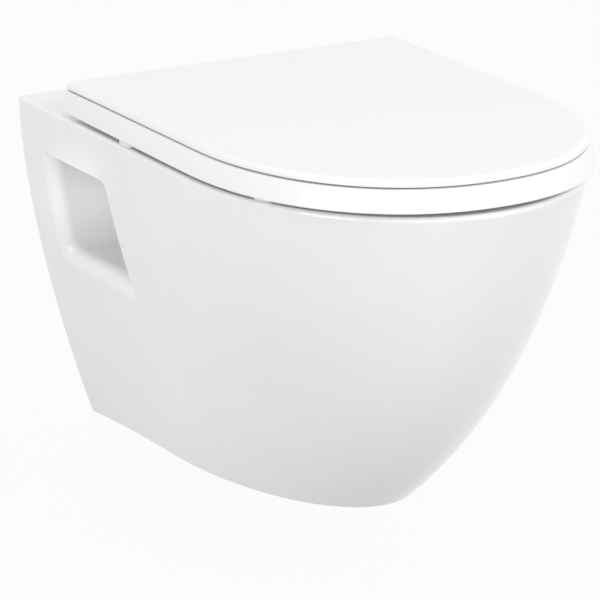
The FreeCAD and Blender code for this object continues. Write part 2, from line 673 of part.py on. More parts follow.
def seat_buffer(name, x, y, turn):
    """A soft oblong block under the seat."""
    body = doc.addObject("Part::Box", name + "_block")
    sides = {"Length": "buffer_width", "Width": "buffer_length", "Height": "seat_gap - buffer_lift"}
    for side, text in sides.items():
        body.setExpression(side, bound(text))
    pad = doc.addObject("Part::Fillet", name)
    pad.Base = body
    doc.recompute()
    pad.Edges = [(number, size.buffer_corner, size.buffer_corner)
                 for number, edge in enumerate(body.Shape.Edges, start=1) if edge.BoundBox.ZLength > SLACK]
    rotation = Rotation(Vector(0, 0, 1), turn)
    corner = rotation.multVec(Vector(size.buffer_width / 2, size.buffer_length / 2, 0))
    pad.Placement = Placement(Vector(x, y, rim_z + size.buffer_lift) - corner, rotation)
    return pad


buffers = []
for side, sign in SIDES.items():
    side_x = sign * (size.lid_half_width + size.seat_flare - size.side_buffer_inset)
    buffers.append(seat_buffer("side_buffer_" + side, side_x, -size.side_buffer, 0))
    buffers.append(seat_buffer("front_buffer_" + side, sign * size.front_buffer_half, -size.front_buffer,
                               sign * size.front_buffer_turn))
group("seat_buffers", buffers)

LID_RECESS_Z = RIM + " + seat_top + lid_gap + lid_edge_height - lid_skin"
pads = []
for side, sign in SIDES.items():
    for place_name in ("rear", "front"):
        pads.append(rod(f"lid_buffer_{place_name}_{side}", "lid_buffer_radius",
                        "lid_gap + lid_edge_height - lid_skin - buffer_lift", f"{sign} * lid_buffer_half",
                        f"-lid_buffer_{place_name}", LID_RECESS_Z, "-z"))
group("lid_buffers", pads)

# ---------------------------------------------------------------- wall fixings
FIXING_X = "fixing_spacing / 2"
sleeves, washers, nuts, caps = [], [], [], []
for side, sign in SIDES.items():
    x = f"{sign} * {FIXING_X}"
    tube = rod("sleeve_tube_" + side, "fixing_hole - sleeve_fit", "pocket_back", x, "0", "0", "-y")
    flange = rod("sleeve_flange_" + side, "sleeve_flange", "sleeve_flange_thick",
                 x, "-pocket_back", "0", "-y")
    bore = rod("sleeve_bore_" + side, "stud_bore", "pocket_back + sleeve_flange_thick + 2 * overrun",
               x, "overrun", "0", "-y")
    sleeves.append(cut("sleeve_" + side, join("sleeve_body_" + side, [tube, flange]), [bore]))
    washer_y = "-pocket_back - sleeve_flange_thick"
    disc = rod("washer_disc_" + side, "washer_radius", "washer_thick", x, washer_y, "0", "-y")
    hole = rod("washer_hole_" + side, "washer_bore", "washer_thick", x, washer_y, "0", "-y")
    washers.append(cut("washer_" + side, disc, [hole]))
    nut_y = washer_y + " - washer_thick"
    hexagon = doc.addObject("Part::Prism", "nut_body_" + side)
    hexagon.Polygon = 6
    hexagon.setExpression("Circumradius", bound("nut_across / sqrt(3)"))
    hexagon.setExpression("Height", bound("nut_thick"))
    place(hexagon, x, nut_y, "0", "-y")
    thread = rod("nut_hole_" + side, "nut_bore", "nut_thick", x, nut_y, "0", "-y")
    nuts.append(cut("nut_" + side, hexagon, [thread]))
    shell = rod("cap_shell_" + side, "sleeve_flange + cap_fit + cap_wall", "cap_length",
                x, "-pocket_back", "0", "-y")
    room = rod("cap_room_" + side, "sleeve_flange + cap_fit", "cap_length - cap_wall",
               x, "-pocket_back", "0", "-y")
    caps.append(cut("cap_" + side, shell, [room]))
group("wall_fixing_sleeves", sleeves)
group("wall_fixing_washers", washers)
group("wall_fixing_nuts", nuts)
group("wall_fixing_caps", caps)

# ---------------------------------------------------------------- hinge posts and what clamps them
gaskets, plates, expanders, cones = [], [], [], []
PLATE_TOP = RIM + " + gasket_thick + plate_thick"
for side, sign in SIDES.items():
    x = f"{sign} * hinge_spacing / 2"
    y = "-post_behind"
    gasket = rod("gasket_disc_" + side, "plate_radius", "gasket_thick", x, y, RIM, "+z")
    gasket_hole = rod("gasket_hole_" + side, "stud_radius", "gasket_thick", x, y, RIM, "+z")
    gaskets.append(cut("gasket_" + side, gasket, [gasket_hole]))
    plate = rod("plate_disc_" + side, "plate_radius", "plate_thick", x, y, RIM + " + gasket_thick", "+z")
    plate_hole = rod("plate_hole_" + side, "stud_radius", "plate_thick", x, y, RIM + " + gasket_thick", "+z")
    plates.append(cut("plate_" + side, plate, [plate_hole]))
    expander = rod("expander_tube_" + side, "deck_hole - expander_fit", "expander_length", x, y, RIM, "-z")
    expander_hole = rod("expander_hole_" + side, "stud_radius", "expander_length", x, y, RIM, "-z")
    expanders.append(cut("expander_" + side, expander, [expander_hole]))
    cone = doc.addObject("Part::Cone", "cone_body_" + side)
    cone.setExpression("Radius1", bound("stud_radius + cone_tip_wall"))
    cone.setExpression("Radius2", bound("deck_hole - expander_fit"))
    cone.setExpression("Height", bound("cone_length"))
    place(cone, x, y, RIM + " - expander_length", "-z")
    cone_hole = rod("cone_hole_" + side, "stud_radius", "cone_length", x, y, RIM + " - expander_length", "-z")
    cones.append(cut("cone_" + side, cone, [cone_hole]))
    head = rod("post_head_" + side, "post_radius", "post_height - gasket_thick - plate_thick",
               x, y, PLATE_TOP, "+z")
    stud = rod("post_stud_" + side, "stud_radius",
               "gasket_thick + plate_thick + expander_length + cone_length", x, y, PLATE_TOP, "-z")
    groove_z = RIM + " + button_low + groove_margin"
    groove_height = "button_height - 2 * groove_margin"
    ring = rod("groove_ring_" + side, "post_radius + post_groove", groove_height, x, y, groove_z, "+z")
    core = rod("groove_core_" + side, "post_radius - post_groove", groove_height, x, y, groove_z, "+z")
    groove = cut("groove_" + side, ring, [core])
    cut("hinge_post_" + side, join("post_body_" + side, [head, stud]), [groove])
group("post_gaskets", gaskets)
group("post_base_plates", plates)
group("expansion_sleeves", expanders)
group("cone_nuts", cones)

# ---------------------------------------------------------------- hinge blocks, pins, dampers
AXIS_Y = "-hinge_behind"
AXIS_Z = RIM + " + hinge_above_rim"
NEAR = "(hinge_spacing - block_width) / 2"
FAR = "(hinge_spacing + block_width) / 2"
BLOCK_LOW = PLATE_TOP + " + block_lift"
BUTTON_REAR = "-block_rear + button_proud"


def on_axis(name, radius, length, sign, start, outward):
    """A cylinder on the hinge axis, from a distance off the middle plane outwards or inwards."""
    direction = "+x" if (sign > 0) == outward else "-x"
    return rod(name, radius, length, f"{sign} * ({start})", AXIS_Y, AXIS_Z, direction)


for side, sign in SIDES.items():
    low_x = NEAR if sign > 0 else "-" + FAR
    base = block("block_base_" + side, "block_width", "block_front - block_rear",
                 "hinge_above_rim - gasket_thick - plate_thick - block_lift",
                 low_x, "-block_front", BLOCK_LOW)
    knuckle = on_axis("block_knuckle_" + side, "barrel_radius", "block_width", sign, NEAR, True)
    near_bore = on_axis("near_bore_" + side, "pin_radius", "shaft_in_block", sign, NEAR, True)
    far_bore = on_axis("far_bore_" + side, "pin_radius", "shaft_in_block", sign, FAR, False)
    socket = rod("post_socket_" + side, "post_radius + post_play",
                 "post_height + post_play - gasket_thick - plate_thick", f"{sign} * hinge_spacing / 2",
                 "-post_behind", PLATE_TOP, "+z")
    middle_x = f"{sign} * hinge_spacing / 2"
    slot_x = middle_x + " - button_width / 2 - button_play"
    button_slot = block("button_slot_" + side, "button_width + 2 * button_play",
                        "button_length + button_stroke + overrun", "button_height + 2 * button_play",
                        slot_x, BUTTON_REAR + " - button_length - button_stroke - button_play",
                        RIM + " + button_low - button_play")
    spring_z = RIM + " + button_low + button_height / 2"
    spring_y = BUTTON_REAR + " - button_length"
    spring_room = rod("spring_room_" + side, "spring_radius + button_play", "spring_length", middle_x,
                      spring_y, spring_z, "-y")
    cut("hinge_block_" + side, join("block_body_" + side, [base, knuckle]),
        [near_bore, far_bore, socket, button_slot, spring_room])
    block("release_button_" + side, "button_width", "button_length", "button_height",
          middle_x + " - button_width / 2", spring_y, RIM + " + button_low")
    rod("button_spring_" + side, "spring_radius", "spring_length", middle_x, spring_y, spring_z, "-y")

SEAT_NEAR = NEAR + " - side_play"
LID_NEAR = FAR + " + side_play"
on_axis("seat_hinge_pin", "pin_radius", "shaft_in_block + side_play + pin_in_barrel", -1,
        NEAR + " + shaft_in_block", False)
on_axis("lid_hinge_pin", "pin_radius", "shaft_in_block + side_play + pin_in_barrel", 1,
        FAR + " - shaft_in_block", True)
on_axis("lid_damper_shaft", "pin_radius", "shaft_in_block + side_play + shaft_in_damper", -1,
        FAR + " - shaft_in_block", True)
on_axis("seat_damper_shaft", "pin_radius", "shaft_in_block + side_play + shaft_in_damper", 1,
        NEAR + " + shaft_in_block", False)
for name, sign, start, outward in (("lid_damper", -1, LID_NEAR, True), ("seat_damper", 1, SEAT_NEAR, False)):
    housing = on_axis(name + "_housing", "damper_radius", "damper_length", sign, start, outward)
    bore = on_axis(name + "_bore", "pin_radius + pin_play", "shaft_in_damper + pin_end_room",
                   sign, start, outward)
    cut(name, housing, [bore])

# ---------------------------------------------------------------- hand over
NODES = [
    "pan", "wall_fixing_sleeves", "wall_fixing_washers", "wall_fixing_nuts", "wall_fixing_caps",
    "post_gaskets", "post_base_plates", "expansion_sleeves", "cone_nuts",
    "hinge_post_left", "hinge_post_right", "hinge_block_left", "hinge_block_right",
    "release_button_left", "release_button_right", "button_spring_left", "button_spring_right",
    "seat_hinge_pin", "lid_hinge_pin", "lid_damper", "lid_damper_shaft", "seat_damper", "seat_damper_shaft",
    "seat_ring", "seat_buffers", "lid", "lid_buffers",
]
doc.recompute()
for thing in doc.Objects:
    if "Invalid" in thing.State or "Error" in thing.State:
        raise RuntimeError("failed: " + thing.Label)
os.makedirs("parts", exist_ok=True)
for name in NODES:
    node = doc.getObject(name)
    if node.Shape.isNull() or not node.Shape.isValid():
        raise RuntimeError("bad shape: " + name)
    node.Label = name
    print(f"{name}: {len(node.Shape.Solids)} solid(s), {node.Shape.Volume / 1000:.1f} ml")
for name in NODES:
    doc.getObject(name).Shape.exportStep(f"parts/{name}.step")
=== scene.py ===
"""The dressed wall hung toilet: glazed pan, seat ring, lid, lift-off hinge and wall fixings.

Metres. +Z is up, the wall is the plane y = 0 and the pan reaches out along -Y.
"""

import bmesh
import bpy
import math
import numpy as np
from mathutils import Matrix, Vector


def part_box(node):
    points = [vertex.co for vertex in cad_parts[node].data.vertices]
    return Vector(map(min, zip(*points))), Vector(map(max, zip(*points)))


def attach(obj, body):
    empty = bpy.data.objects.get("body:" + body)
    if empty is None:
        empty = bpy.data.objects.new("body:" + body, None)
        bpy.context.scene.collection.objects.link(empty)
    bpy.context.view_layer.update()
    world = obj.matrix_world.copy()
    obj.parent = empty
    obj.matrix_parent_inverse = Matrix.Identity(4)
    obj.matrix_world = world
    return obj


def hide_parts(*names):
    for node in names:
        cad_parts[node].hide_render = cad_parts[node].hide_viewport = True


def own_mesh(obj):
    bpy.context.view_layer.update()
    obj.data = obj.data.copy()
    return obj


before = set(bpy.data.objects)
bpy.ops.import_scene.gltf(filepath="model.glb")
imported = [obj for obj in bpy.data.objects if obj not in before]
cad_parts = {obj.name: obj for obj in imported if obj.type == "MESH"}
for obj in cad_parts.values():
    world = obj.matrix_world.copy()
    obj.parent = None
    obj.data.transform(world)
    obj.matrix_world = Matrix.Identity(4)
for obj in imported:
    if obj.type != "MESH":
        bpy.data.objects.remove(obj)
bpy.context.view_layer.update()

# ---------------------------------------------------------------- pan: glaze
# One slip-cast body of vitreous china, sprayed with opaque white glaze and fired. The glaze
# flows a little before it sets, so the skin is glassy and very slightly wavy, and thins where
# it ran.
MM = 0.001
GLAZE, GLAZE_THIN = (0.872, 0.872, 0.868, 1.0), (0.852, 0.850, 0.842, 1.0)
GLAZE_SMOOTH, GLAZE_SATIN = 0.06, 0.13
GLAZE_FLOW, GLAZE_PEEL, PEEL_SHARE = 9.0, 170.0, 0.04
WAVE_START, THIN_END, SATIN_END = 0.3, 0.75, 0.7


def add_node(tree, kind, inputs=None, **settings):
    """One shader node. inputs gives its sockets, each a value or another node's output."""
    made = tree.nodes.new(kind)
    for name, value in settings.items():
        setattr(made, name, value)
    for name, value in (inputs or {}).items():
        if isinstance(value, bpy.types.NodeSocket):
            tree.links.new(value, made.inputs[name])
        else:
            made.inputs[name].default_value = value
    return made


def new_effect(name, takes):
    """A shader group with named inputs that puts out a colour, a roughness and a height."""
    tree = bpy.data.node_groups.new(name, "ShaderNodeTree")
    for label, value in takes.items():
        kind = "NodeSocketFloat" if isinstance(value, float) else "NodeSocketColor"
        socket = tree.interface.new_socket(label, in_out="INPUT", socket_type=kind)
        socket.default_value = value
    for label, kind in (("Colour", "Color"), ("Roughness", "Float"), ("Height", "Float")):
        tree.interface.new_socket(label, in_out="OUTPUT", socket_type="NodeSocket" + kind)
    place = add_node(tree, "ShaderNodeTexCoord").outputs["Object"]
    given = tree.nodes.new("NodeGroupInput").outputs
    return tree, given, tree.nodes.new("NodeGroupOutput").inputs, place


def spread(tree, value, low, high, start=0.0, end=1.0):
    """A value's way from start to end, held between them, as the same way from low to high."""
    return add_node(tree, "ShaderNodeMapRange", {
        "Value": value, "From Min": start, "From Max": end,
        "To Min": low, "To Max": high}).outputs["Result"]


def noise(tree, where, scale, detail=2.0):
    """Soft three-dimensional noise, 0 to 1, with this many waves to the metre."""
    return add_node(tree, "ShaderNodeTexNoise", {
        "Vector": where, "Scale": scale, "Detail": detail}).outputs["Fac"]


def blend_colours(tree, share, first, second):
    """First where share is 0, second where it is 1: (1 - share) first + share second."""
    return add_node(tree, "ShaderNodeMix", {0: share, 6: first, 7: second},
                    data_type="RGBA").outputs[2]


def calculate(tree, operation, first, second):
    """One sum of two values."""
    return add_node(tree, "ShaderNodeMath", {0: first, 1: second}, operation=operation).outputs[0]


def put_out(tree, takes, gives, labels, pattern, start, colour_end, rough_end, height):
    """An effect's outputs: as its pattern goes from start to an end, the colour and the
    roughness go in a straight line from the first to the second of their two inputs."""
    first, second, smooth, rough = (takes[label] for label in labels)
    share = spread(tree, pattern, 0.0, 1.0, start, colour_end)
    tree.links.new(blend_colours(tree, share, first, second), gives["Colour"])
    tree.links.new(spread(tree, pattern, smooth, rough, start, rough_end), gives["Roughness"])
    tree.links.new(height, gives["Height"])


# Long, lazy waves where the wet glaze ran, with a fine peel on top of them.
flow, flow_in, flow_out, place = new_effect("surface_flow", {
    "Colour": GLAZE, "Thin Colour": GLAZE_THIN, "Flow Size": GLAZE_FLOW,
    "Peel Size": GLAZE_PEEL, "Smooth": GLAZE_SMOOTH, "Satin": GLAZE_SATIN})
waves = noise(flow, place, flow_in["Flow Size"])
peel = noise(flow, place, flow_in["Peel Size"], detail=3.0)
put_out(flow, flow_in, flow_out, ("Colour", "Thin Colour", "Smooth", "Satin"), waves,
        WAVE_START, THIN_END, SATIN_END,
        calculate(flow, "ADD", waves, calculate(flow, "MULTIPLY", peel, PEEL_SHARE)))


def finish(name, effect, values, shader, bump, depth):
    """A material whose colour, roughness and bump come from one effect, with the rest of its
    look on the shader itself."""
    material = bpy.data.materials.new(name)
    material.use_nodes = True
    tree = material.node_tree
    surface = tree.nodes["Principled BSDF"]
    source = add_node(tree, "ShaderNodeGroup", node_tree=effect)
    for label, value in values.items():
        source.inputs[label].default_value = value
    tree.links.new(source.outputs["Colour"], surface.inputs["Base Color"])
    tree.links.new(source.outputs["Roughness"], surface.inputs["Roughness"])
    relief = add_node(tree, "ShaderNodeBump", {
        "Height": source.outputs["Height"], "Strength": bump, "Distance": depth})
    tree.links.new(relief.outputs["Normal"], surface.inputs["Normal"])
    for label, value in shader.items():
        surface.inputs[label].default_value = value
    return material


glaze = finish("white_glaze", flow, {}, {
    "IOR": 1.5, "Coat Weight": 0.35, "Coat Roughness": 0.03, "Coat IOR": 1.5},
    bump=0.3, depth=1.2 * MM)

# ---------------------------------------------------------------- pan: bare bisque
# The ground rear face and the hollow behind the skirt get no glaze: there the fired body
# shows, cream, matt and finely grained.
BISQUE, BISQUE_DARK = (0.74, 0.71, 0.65, 1.0), (0.64, 0.605, 0.54, 1.0)
BISQUE_SMOOTHER, BISQUE_MATT = 0.68, 0.82
GRAIN_SIZE, PATCH_SIZE, PATCH_SHARE, SPECK_SHARE = 900.0, 22.0, 0.7, 0.3
MOTTLE_START, MOTTLE_END = 0.3, 0.7
WELD = 0.01 * MM
GROUND_DEPTH, SOCKET_RECESS = 0.3 * MM, 3.4 * MM
DECK_HOLE_PICK = 8.6 * MM
IN_THE_HOLLOW = (130 * MM, -20 * MM, 66 * MM)


def mixed(tree, first, first_share, second, second_share):
    """Two patterns added, each times its share."""
    return calculate(tree, "ADD", calculate(tree, "MULTIPLY", first, first_share),
                     calculate(tree, "MULTIPLY", second, second_share))


# Broad soft patches from the firing, with the specks of the clay's grain over them.
grain, grain_in, grain_out, place = new_effect("matt_grain", {
    "Colour": BISQUE, "Dark Colour": BISQUE_DARK, "Grain Size": GRAIN_SIZE,
    "Patch Size": PATCH_SIZE, "Smoother": BISQUE_SMOOTHER, "Matt": BISQUE_MATT})
patches = noise(grain, place, grain_in["Patch Size"], detail=4.0)
specks = noise(grain, place, grain_in["Grain Size"])
mottle = mixed(grain, patches, PATCH_SHARE, specks, SPECK_SHARE)
put_out(grain, grain_in, grain_out, ("Colour", "Dark Colour", "Smoother", "Matt"), mottle,
        MOTTLE_START, MOTTLE_END, MOTTLE_END, mottle)
bisque = finish("bare_bisque", grain, {}, {"IOR": 1.5, "Specular IOR Level": 0.3},
                bump=0.5, depth=0.3 * MM)


def joined_corners(mesh):
    """Each vertex's place, each triangle's three vertices, and the same three numbered again
    so that vertices whose places round to the same step share a number."""
    spots = np.empty(len(mesh.vertices) * 3)
    mesh.vertices.foreach_get("co", spots)
    spots = spots.reshape(-1, 3)
    corners = np.empty(len(mesh.loops), int)
    mesh.loops.foreach_get("vertex_index", corners)
    rounded = np.round(spots / WELD).astype(int)
    shared = np.unique(rounded, axis=0, return_inverse=True)[1].ravel()
    return spots, corners.reshape(-1, 3), shared[corners].reshape(-1, 3)


def spreads_to(corners, start, barrier):
    """Triangles that are reached from the one at start: a triangle is reached when it shares
    a corner with one reached before it and isn't in the barrier, until none is added."""
    reached = np.zeros(len(corners), bool)
    reached[start] = True
    wet = np.zeros(corners.max() + 1, bool)
    while True:
        wet[corners[reached]] = True
        grown = (wet[corners].any(axis=1) & ~barrier) | reached
        if (grown == reached).all():
            return reached
        reached = grown


def dress(piece, materials, body, slot, *nodes):
    """A piece's materials, the body that it moves with, the finish that it shows, which is not
    used, and the solids that it stands for."""
    piece.data.materials.clear()
    for material in materials:
        piece.data.materials.append(material)
    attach(piece, body)
    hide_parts(*nodes)


post_low, post_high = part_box("hinge_post_left")
POST_X, POST_Y = -(post_low.x + post_high.x) / 2, (post_low.y + post_high.y) / 2
casting = bpy.data.objects.new("pan_casting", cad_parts["pan"].data.copy())
bpy.context.scene.collection.objects.link(casting)
spots, triangles, linked = joined_corners(casting.data)
middles = spots[triangles].mean(axis=1)
off_hole = np.hypot(np.abs(middles[:, 0]) - POST_X, middles[:, 1] - POST_Y)
barrier = (middles[:, 1] > -SOCKET_RECESS) | (off_hole < DECK_HOLE_PICK)
seed = np.linalg.norm(middles - IN_THE_HOLLOW, axis=1).argmin()
bare = spreads_to(linked, seed, barrier) | (middles[:, 1] > -GROUND_DEPTH)
dress(casting, [glaze, bisque], "pan", "china", "pan")
casting.data.polygons.foreach_set("material_index", bare.astype(np.int32))

# ---------------------------------------------------------------- wall fixings
# A stud from the wall passes through each: a grey polyethylene sleeve keeps the china off the
# steel, then come a zinc-plated washer and nut, and a thin white cap snaps over the sleeve's
# flange.
SIDES = {"left": -1, "right": 1}
FIXING_X, STUD_BORE = 90 * MM, 6.5 * MM
SLEEVE_TUBE, SLEEVE_EASE, WASHER_EASE = 13.85 * MM, 0.5 * MM, 0.4 * MM
NUT_FLATS, NUT_BORE, NUT_FACE_OVER = 19 * MM, 6.2 * MM, 1.01
THREAD_PITCH, NUT_THREAD, NUT_LEAD_IN = 1.75 * MM, 0.8 * MM, 0.6 * MM
CAP_WALL, CAP_EASE = 1.6 * MM, 0.7 * MM
MERGED, SHARP_ANGLE = 0.001 * MM, 35.0
GREY, GREY_DEEP = (0.27, 0.28, 0.29, 1.0), (0.235, 0.245, 0.255, 1.0)
ZINC, ZINC_DULL = (0.62, 0.63, 0.64, 1.0), (0.50, 0.505, 0.50, 1.0)
WHITE, WHITE_DEEP = (0.81, 0.81, 0.80, 1.0), (0.785, 0.785, 0.77, 1.0)
MARK_SIZE, PLATING_PATCH, PLATING_SHARE, MARK_SHARE = 700.0, 90.0, 0.6, 0.4
MARK_STRETCH, TARNISH_START, TARNISH_END = (0.12, 1.0, 1.0), 0.32, 0.68


def ease(points, radius, steps=4):
    """A line whose inner corners are rounded. Each corner gives way to the parabola
    (1 - t)^2 start + 2 t (1 - t) corner + t^2 end, where start and end lie on its two legs,
    the radius or half a leg away, whichever is less."""
    points = [np.array(point, float) for point in points]
    share = np.linspace(0, 1, steps + 1)[:, None]
    eased = [points[:1]]
    for before, corner, after in zip(points, points[1:], points[2:]):
        inward, outward = before - corner, after - corner
        start = corner + inward * min(0.5, radius / np.linalg.norm(inward))
        end = corner + outward * min(0.5, radius / np.linalg.norm(outward))
        eased.append((1 - share) ** 2 * start + 2 * share * (1 - share) * corner
                     + share ** 2 * end)
    return np.concatenate(eased + [points[-1:]])


def loop_of(points, radius, steps=4):
    """The same for a closed line: it starts and ends halfway along its closing leg."""
    start = (np.array(points[0], float) + points[-1]) / 2
    return ease([start, *points, start], radius, steps)[:-1]


def shell(rings, closed=False):
    """A surface through rings of equal count. Each quad joins two neighbours of one ring to
    the same two of the next, and the last ring's to the first's if closed."""
    rings = np.array(rings)
    count, around = rings.shape[:2]
    number = np.arange(count * around).reshape(count, around)
    if closed:
        number = np.vstack([number, number[:1]])
    here, beyond = number[:-1], number[1:]
    faces = np.stack([here, np.roll(here, -1, axis=1), np.roll(beyond, -1, axis=1), beyond],
                     axis=-1)
    return rings.reshape(-1, 3), faces.reshape(-1, 4)


def turned(profile, centre, axis, around=48, closed=False, reach=None):
    """A profile of (radius, distance) points carried round an axis: centre + distance times
    the axis + radius times a spoke. The spoke at an angle is cos times one direction across
    the axis + sin times the other. reach, where given, caps the radius by angle."""
    axis = np.array(axis, float)
    across = np.array([0, 0, 1.0]) if abs(axis[2]) < 0.5 else np.array([1.0, 0, 0])
    turn = np.linspace(0, 2 * math.pi, around, endpoint=False)
    radius, along = np.array(profile).T[:, :, None]
    radius = np.minimum(radius, reach(turn)) if reach else radius + 0 * turn
    spoke = np.cos(turn)[:, None] * across + np.sin(turn)[:, None] * np.cross(axis, across)
    points = np.array(centre) + axis * along[..., None] + radius[..., None] * spoke
    return shell(points, closed)


def flat_ring(bore, radius, thick, edge, centre, axis, around=48):
    """A flat ring: its oblong section, with eased corners, carried round the axis."""
    section = loop_of([(bore, 0), (radius, 0), (radius, thick), (bore, thick)], edge)
    return turned(section, centre, axis, around, closed=True)


def make_piece(name, shells, sharp=SHARP_ANGLE):
    """A mesh object from one or more shells, with equal points merged, faces turned outwards
    and edges that turn by more than the sharp angle kept crisp."""
    counts = np.cumsum([0] + [len(points) for points, faces in shells])
    points = np.concatenate([points for points, faces in shells])
    faces = np.concatenate([faces + count for (_, faces), count in zip(shells, counts)])
    mesh = bpy.data.meshes.new(name)
    mesh.from_pydata(points.tolist(), [], faces.tolist())
    skin = bmesh.new()
    skin.from_mesh(mesh)
    bmesh.ops.remove_doubles(skin, verts=skin.verts, dist=MERGED)
    bmesh.ops.dissolve_degenerate(skin, edges=skin.edges, dist=MERGED)
    bmesh.ops.recalc_face_normals(skin, faces=skin.faces)
    skin.to_mesh(mesh)
    skin.free()
    mesh.shade_smooth()
    mesh.set_sharp_from_angle(angle=math.radians(sharp))
    made = bpy.data.objects.new(name, mesh)
    bpy.context.scene.collection.objects.link(made)
    return made


def thread(radius, depth, start, end, pitch=THREAD_PITCH):
    """Profile points of a screw thread: radius at each crest, depth less at each root, and
    half a pitch from one to the next."""
    turns = int(abs(end - start) / pitch)
    along = np.linspace(start, end, 2 * turns + 1)
    return np.column_stack([radius - depth * (np.arange(2 * turns + 1) % 2), along])


def hexagon(turn):
    """The nut's reach at an angle: half its flats over the cosine of the angle off the
    nearest flat."""
    off_flat = (turn + math.pi / 6) % (math.pi / 3) - math.pi / 6
    return NUT_FLATS / 2 / np.cos(off_flat)


INTO_ROOM = (0, -1, 0)
sleeve_low, sleeve_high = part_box("wall_fixing_sleeves")
washer_low, washer_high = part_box("wall_fixing_washers")
nut_low, nut_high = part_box("wall_fixing_nuts")
cap_low, cap_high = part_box("wall_fixing_caps")
flange_radius, flange_start = sleeve_high.x - FIXING_X, -cap_high.y
sleeve_end = -sleeve_low.y
washer_radius, washer_thick = washer_high.x - FIXING_X, washer_high.y - washer_low.y
cap_radius, cap_length = cap_high.x - FIXING_X, cap_high.y - cap_low.y
cap_inner, cap_floor = cap_radius - CAP_WALL, cap_length - CAP_WALL
nut_thick, nut_root = nut_high.y - nut_low.y, NUT_BORE + NUT_THREAD
nut_face, nut_tip = NUT_FLATS / 2 * NUT_FACE_OVER, NUT_FLATS / math.sqrt(3)
nut_slope = (nut_tip - nut_face) / 2
sleeves, washers, nuts, caps = [], [], [], []
for side in SIDES.values():
    x = side * FIXING_X
    sleeves.append(turned(loop_of([
        (STUD_BORE, 0), (SLEEVE_TUBE, 0), (SLEEVE_TUBE, flange_start),
        (flange_radius, flange_start), (flange_radius, sleeve_end), (STUD_BORE, sleeve_end)],
        SLEEVE_EASE), (x, 0, 0), INTO_ROOM, closed=True))
    washers.append(flat_ring(STUD_BORE, washer_radius, washer_thick, WASHER_EASE,
                             (x, washer_high.y, 0), INTO_ROOM))
    nuts.append(turned(np.concatenate([
        [(nut_root, 0), (nut_face, 0), (nut_tip, nut_slope), (nut_tip, nut_thick - nut_slope),
         (nut_face, nut_thick), (nut_root, nut_thick)],
        thread(nut_root, NUT_THREAD, nut_thick - NUT_LEAD_IN, NUT_LEAD_IN)]),
        (x, nut_high.y, 0), INTO_ROOM, around=72, closed=True, reach=hexagon))
    caps.append(turned(ease([
        (0, cap_length), (cap_radius, cap_length), (cap_radius, 0), (cap_inner, 0),
        (cap_inner, cap_floor), (0, cap_floor)], CAP_EASE, steps=5),
        (x, cap_high.y, 0), INTO_ROOM))

grey_plastic = finish("grey_polyethylene", grain, {
    "Colour": GREY, "Dark Colour": GREY_DEEP, "Grain Size": 1400.0, "Patch Size": 60.0,
    "Smoother": 0.38, "Matt": 0.5}, {"IOR": 1.5}, bump=0.25, depth=0.1 * MM)
white_plastic = finish("white_moulded_plastic", grain, {
    "Colour": WHITE, "Dark Colour": WHITE_DEEP, "Grain Size": 1600.0, "Patch Size": 45.0,
    "Smoother": 0.26, "Matt": 0.36}, {"IOR": 1.49, "Coat Weight": 0.1},
    bump=0.2, depth=0.08 * MM)

# Metal skin: duller and brighter patches from tumbling and plating, and tool marks across.
metal, metal_in, metal_out, place = new_effect("worked_metal", {
    "Colour": ZINC, "Dull Colour": ZINC_DULL, "Mark Size": MARK_SIZE,
    "Patch Size": PLATING_PATCH, "Bright": 0.2, "Dull": 0.42})
patches = noise(metal, place, metal_in["Patch Size"], detail=3.0)
stretched = add_node(metal, "ShaderNodeMapping", {"Vector": place, "Scale": MARK_STRETCH})
marks = noise(metal, stretched.outputs["Vector"], metal_in["Mark Size"], detail=3.0)
tarnish = mixed(metal, patches, PLATING_SHARE, marks, MARK_SHARE)
put_out(metal, metal_in, metal_out, ("Colour", "Dull Colour", "Bright", "Dull"), tarnish,
        TARNISH_START, TARNISH_END, TARNISH_END, marks)
zinc = finish("zinc_plated_steel", metal, {}, {"Metallic": 1.0}, bump=0.3, depth=0.05 * MM)

dress(make_piece("fixing_sleeves", sleeves), [grey_plastic], "pan", "grey_plastic",
      "wall_fixing_sleeves")
dress(make_piece("fixing_washers", washers), [zinc], "pan", "steel", "wall_fixing_washers")
dress(make_piece("fixing_nuts", nuts, sharp=25.0), [zinc], "pan", "steel", "wall_fixing_nuts")
dress(make_piece("fixing_caps", caps), [white_plastic], "pan", "white_plastic",
      "wall_fixing_caps")

# ---------------------------------------------------------------- hinge posts
# Turned stainless posts stand on the deck. A rubber sleeve and a brass cone nut, drawn up by
# the post's stud, clamp each one in its hole; a base plate and a soft gasket spread the load.
POST_RADIUS, STUD_RADIUS, GROOVE_DEPTH = 5 * MM, 3 * MM, 1.2 * MM
GROOVE_INSIDE, POST_SLOPE, POST_TIP_IN, POST_EASE = 1 * MM, 1.2 * MM, 1.6 * MM, 0.35 * MM
STUD_PITCH, THREAD_DEPTH, STUD_TIP, STUD_RELIEF = 1.0 * MM, 0.35 * MM, 0.5 * MM, 1 * MM
PLATE_IN, PLATE_LAND, PLATE_SLOPE, PLATE_EASE = 0.3 * MM, 0.8 * MM, 1.6 * MM, 0.35 * MM
GASKET_EASE = 0.25 * MM
RIBS, RIB_DEPTH, RIB_POINTS, RUBBER_END_IN = 5, 0.35 * MM, 41, 0.5 * MM
CONE_NOSE, CONE_LAND, CONE_EASE = 2.5 * MM, 0.6 * MM, 0.25 * MM
STAINLESS, STAINLESS_DULL = (0.66, 0.655, 0.64, 1.0), (0.56, 0.555, 0.54, 1.0)
BRASS, BRASS_DULL = (0.74, 0.53, 0.22, 1.0), (0.60, 0.42, 0.17, 1.0)
BLACK_RUBBER, RUBBER_BLOOM = (0.028, 0.028, 0.028, 1.0), (0.05, 0.05, 0.05, 1.0)

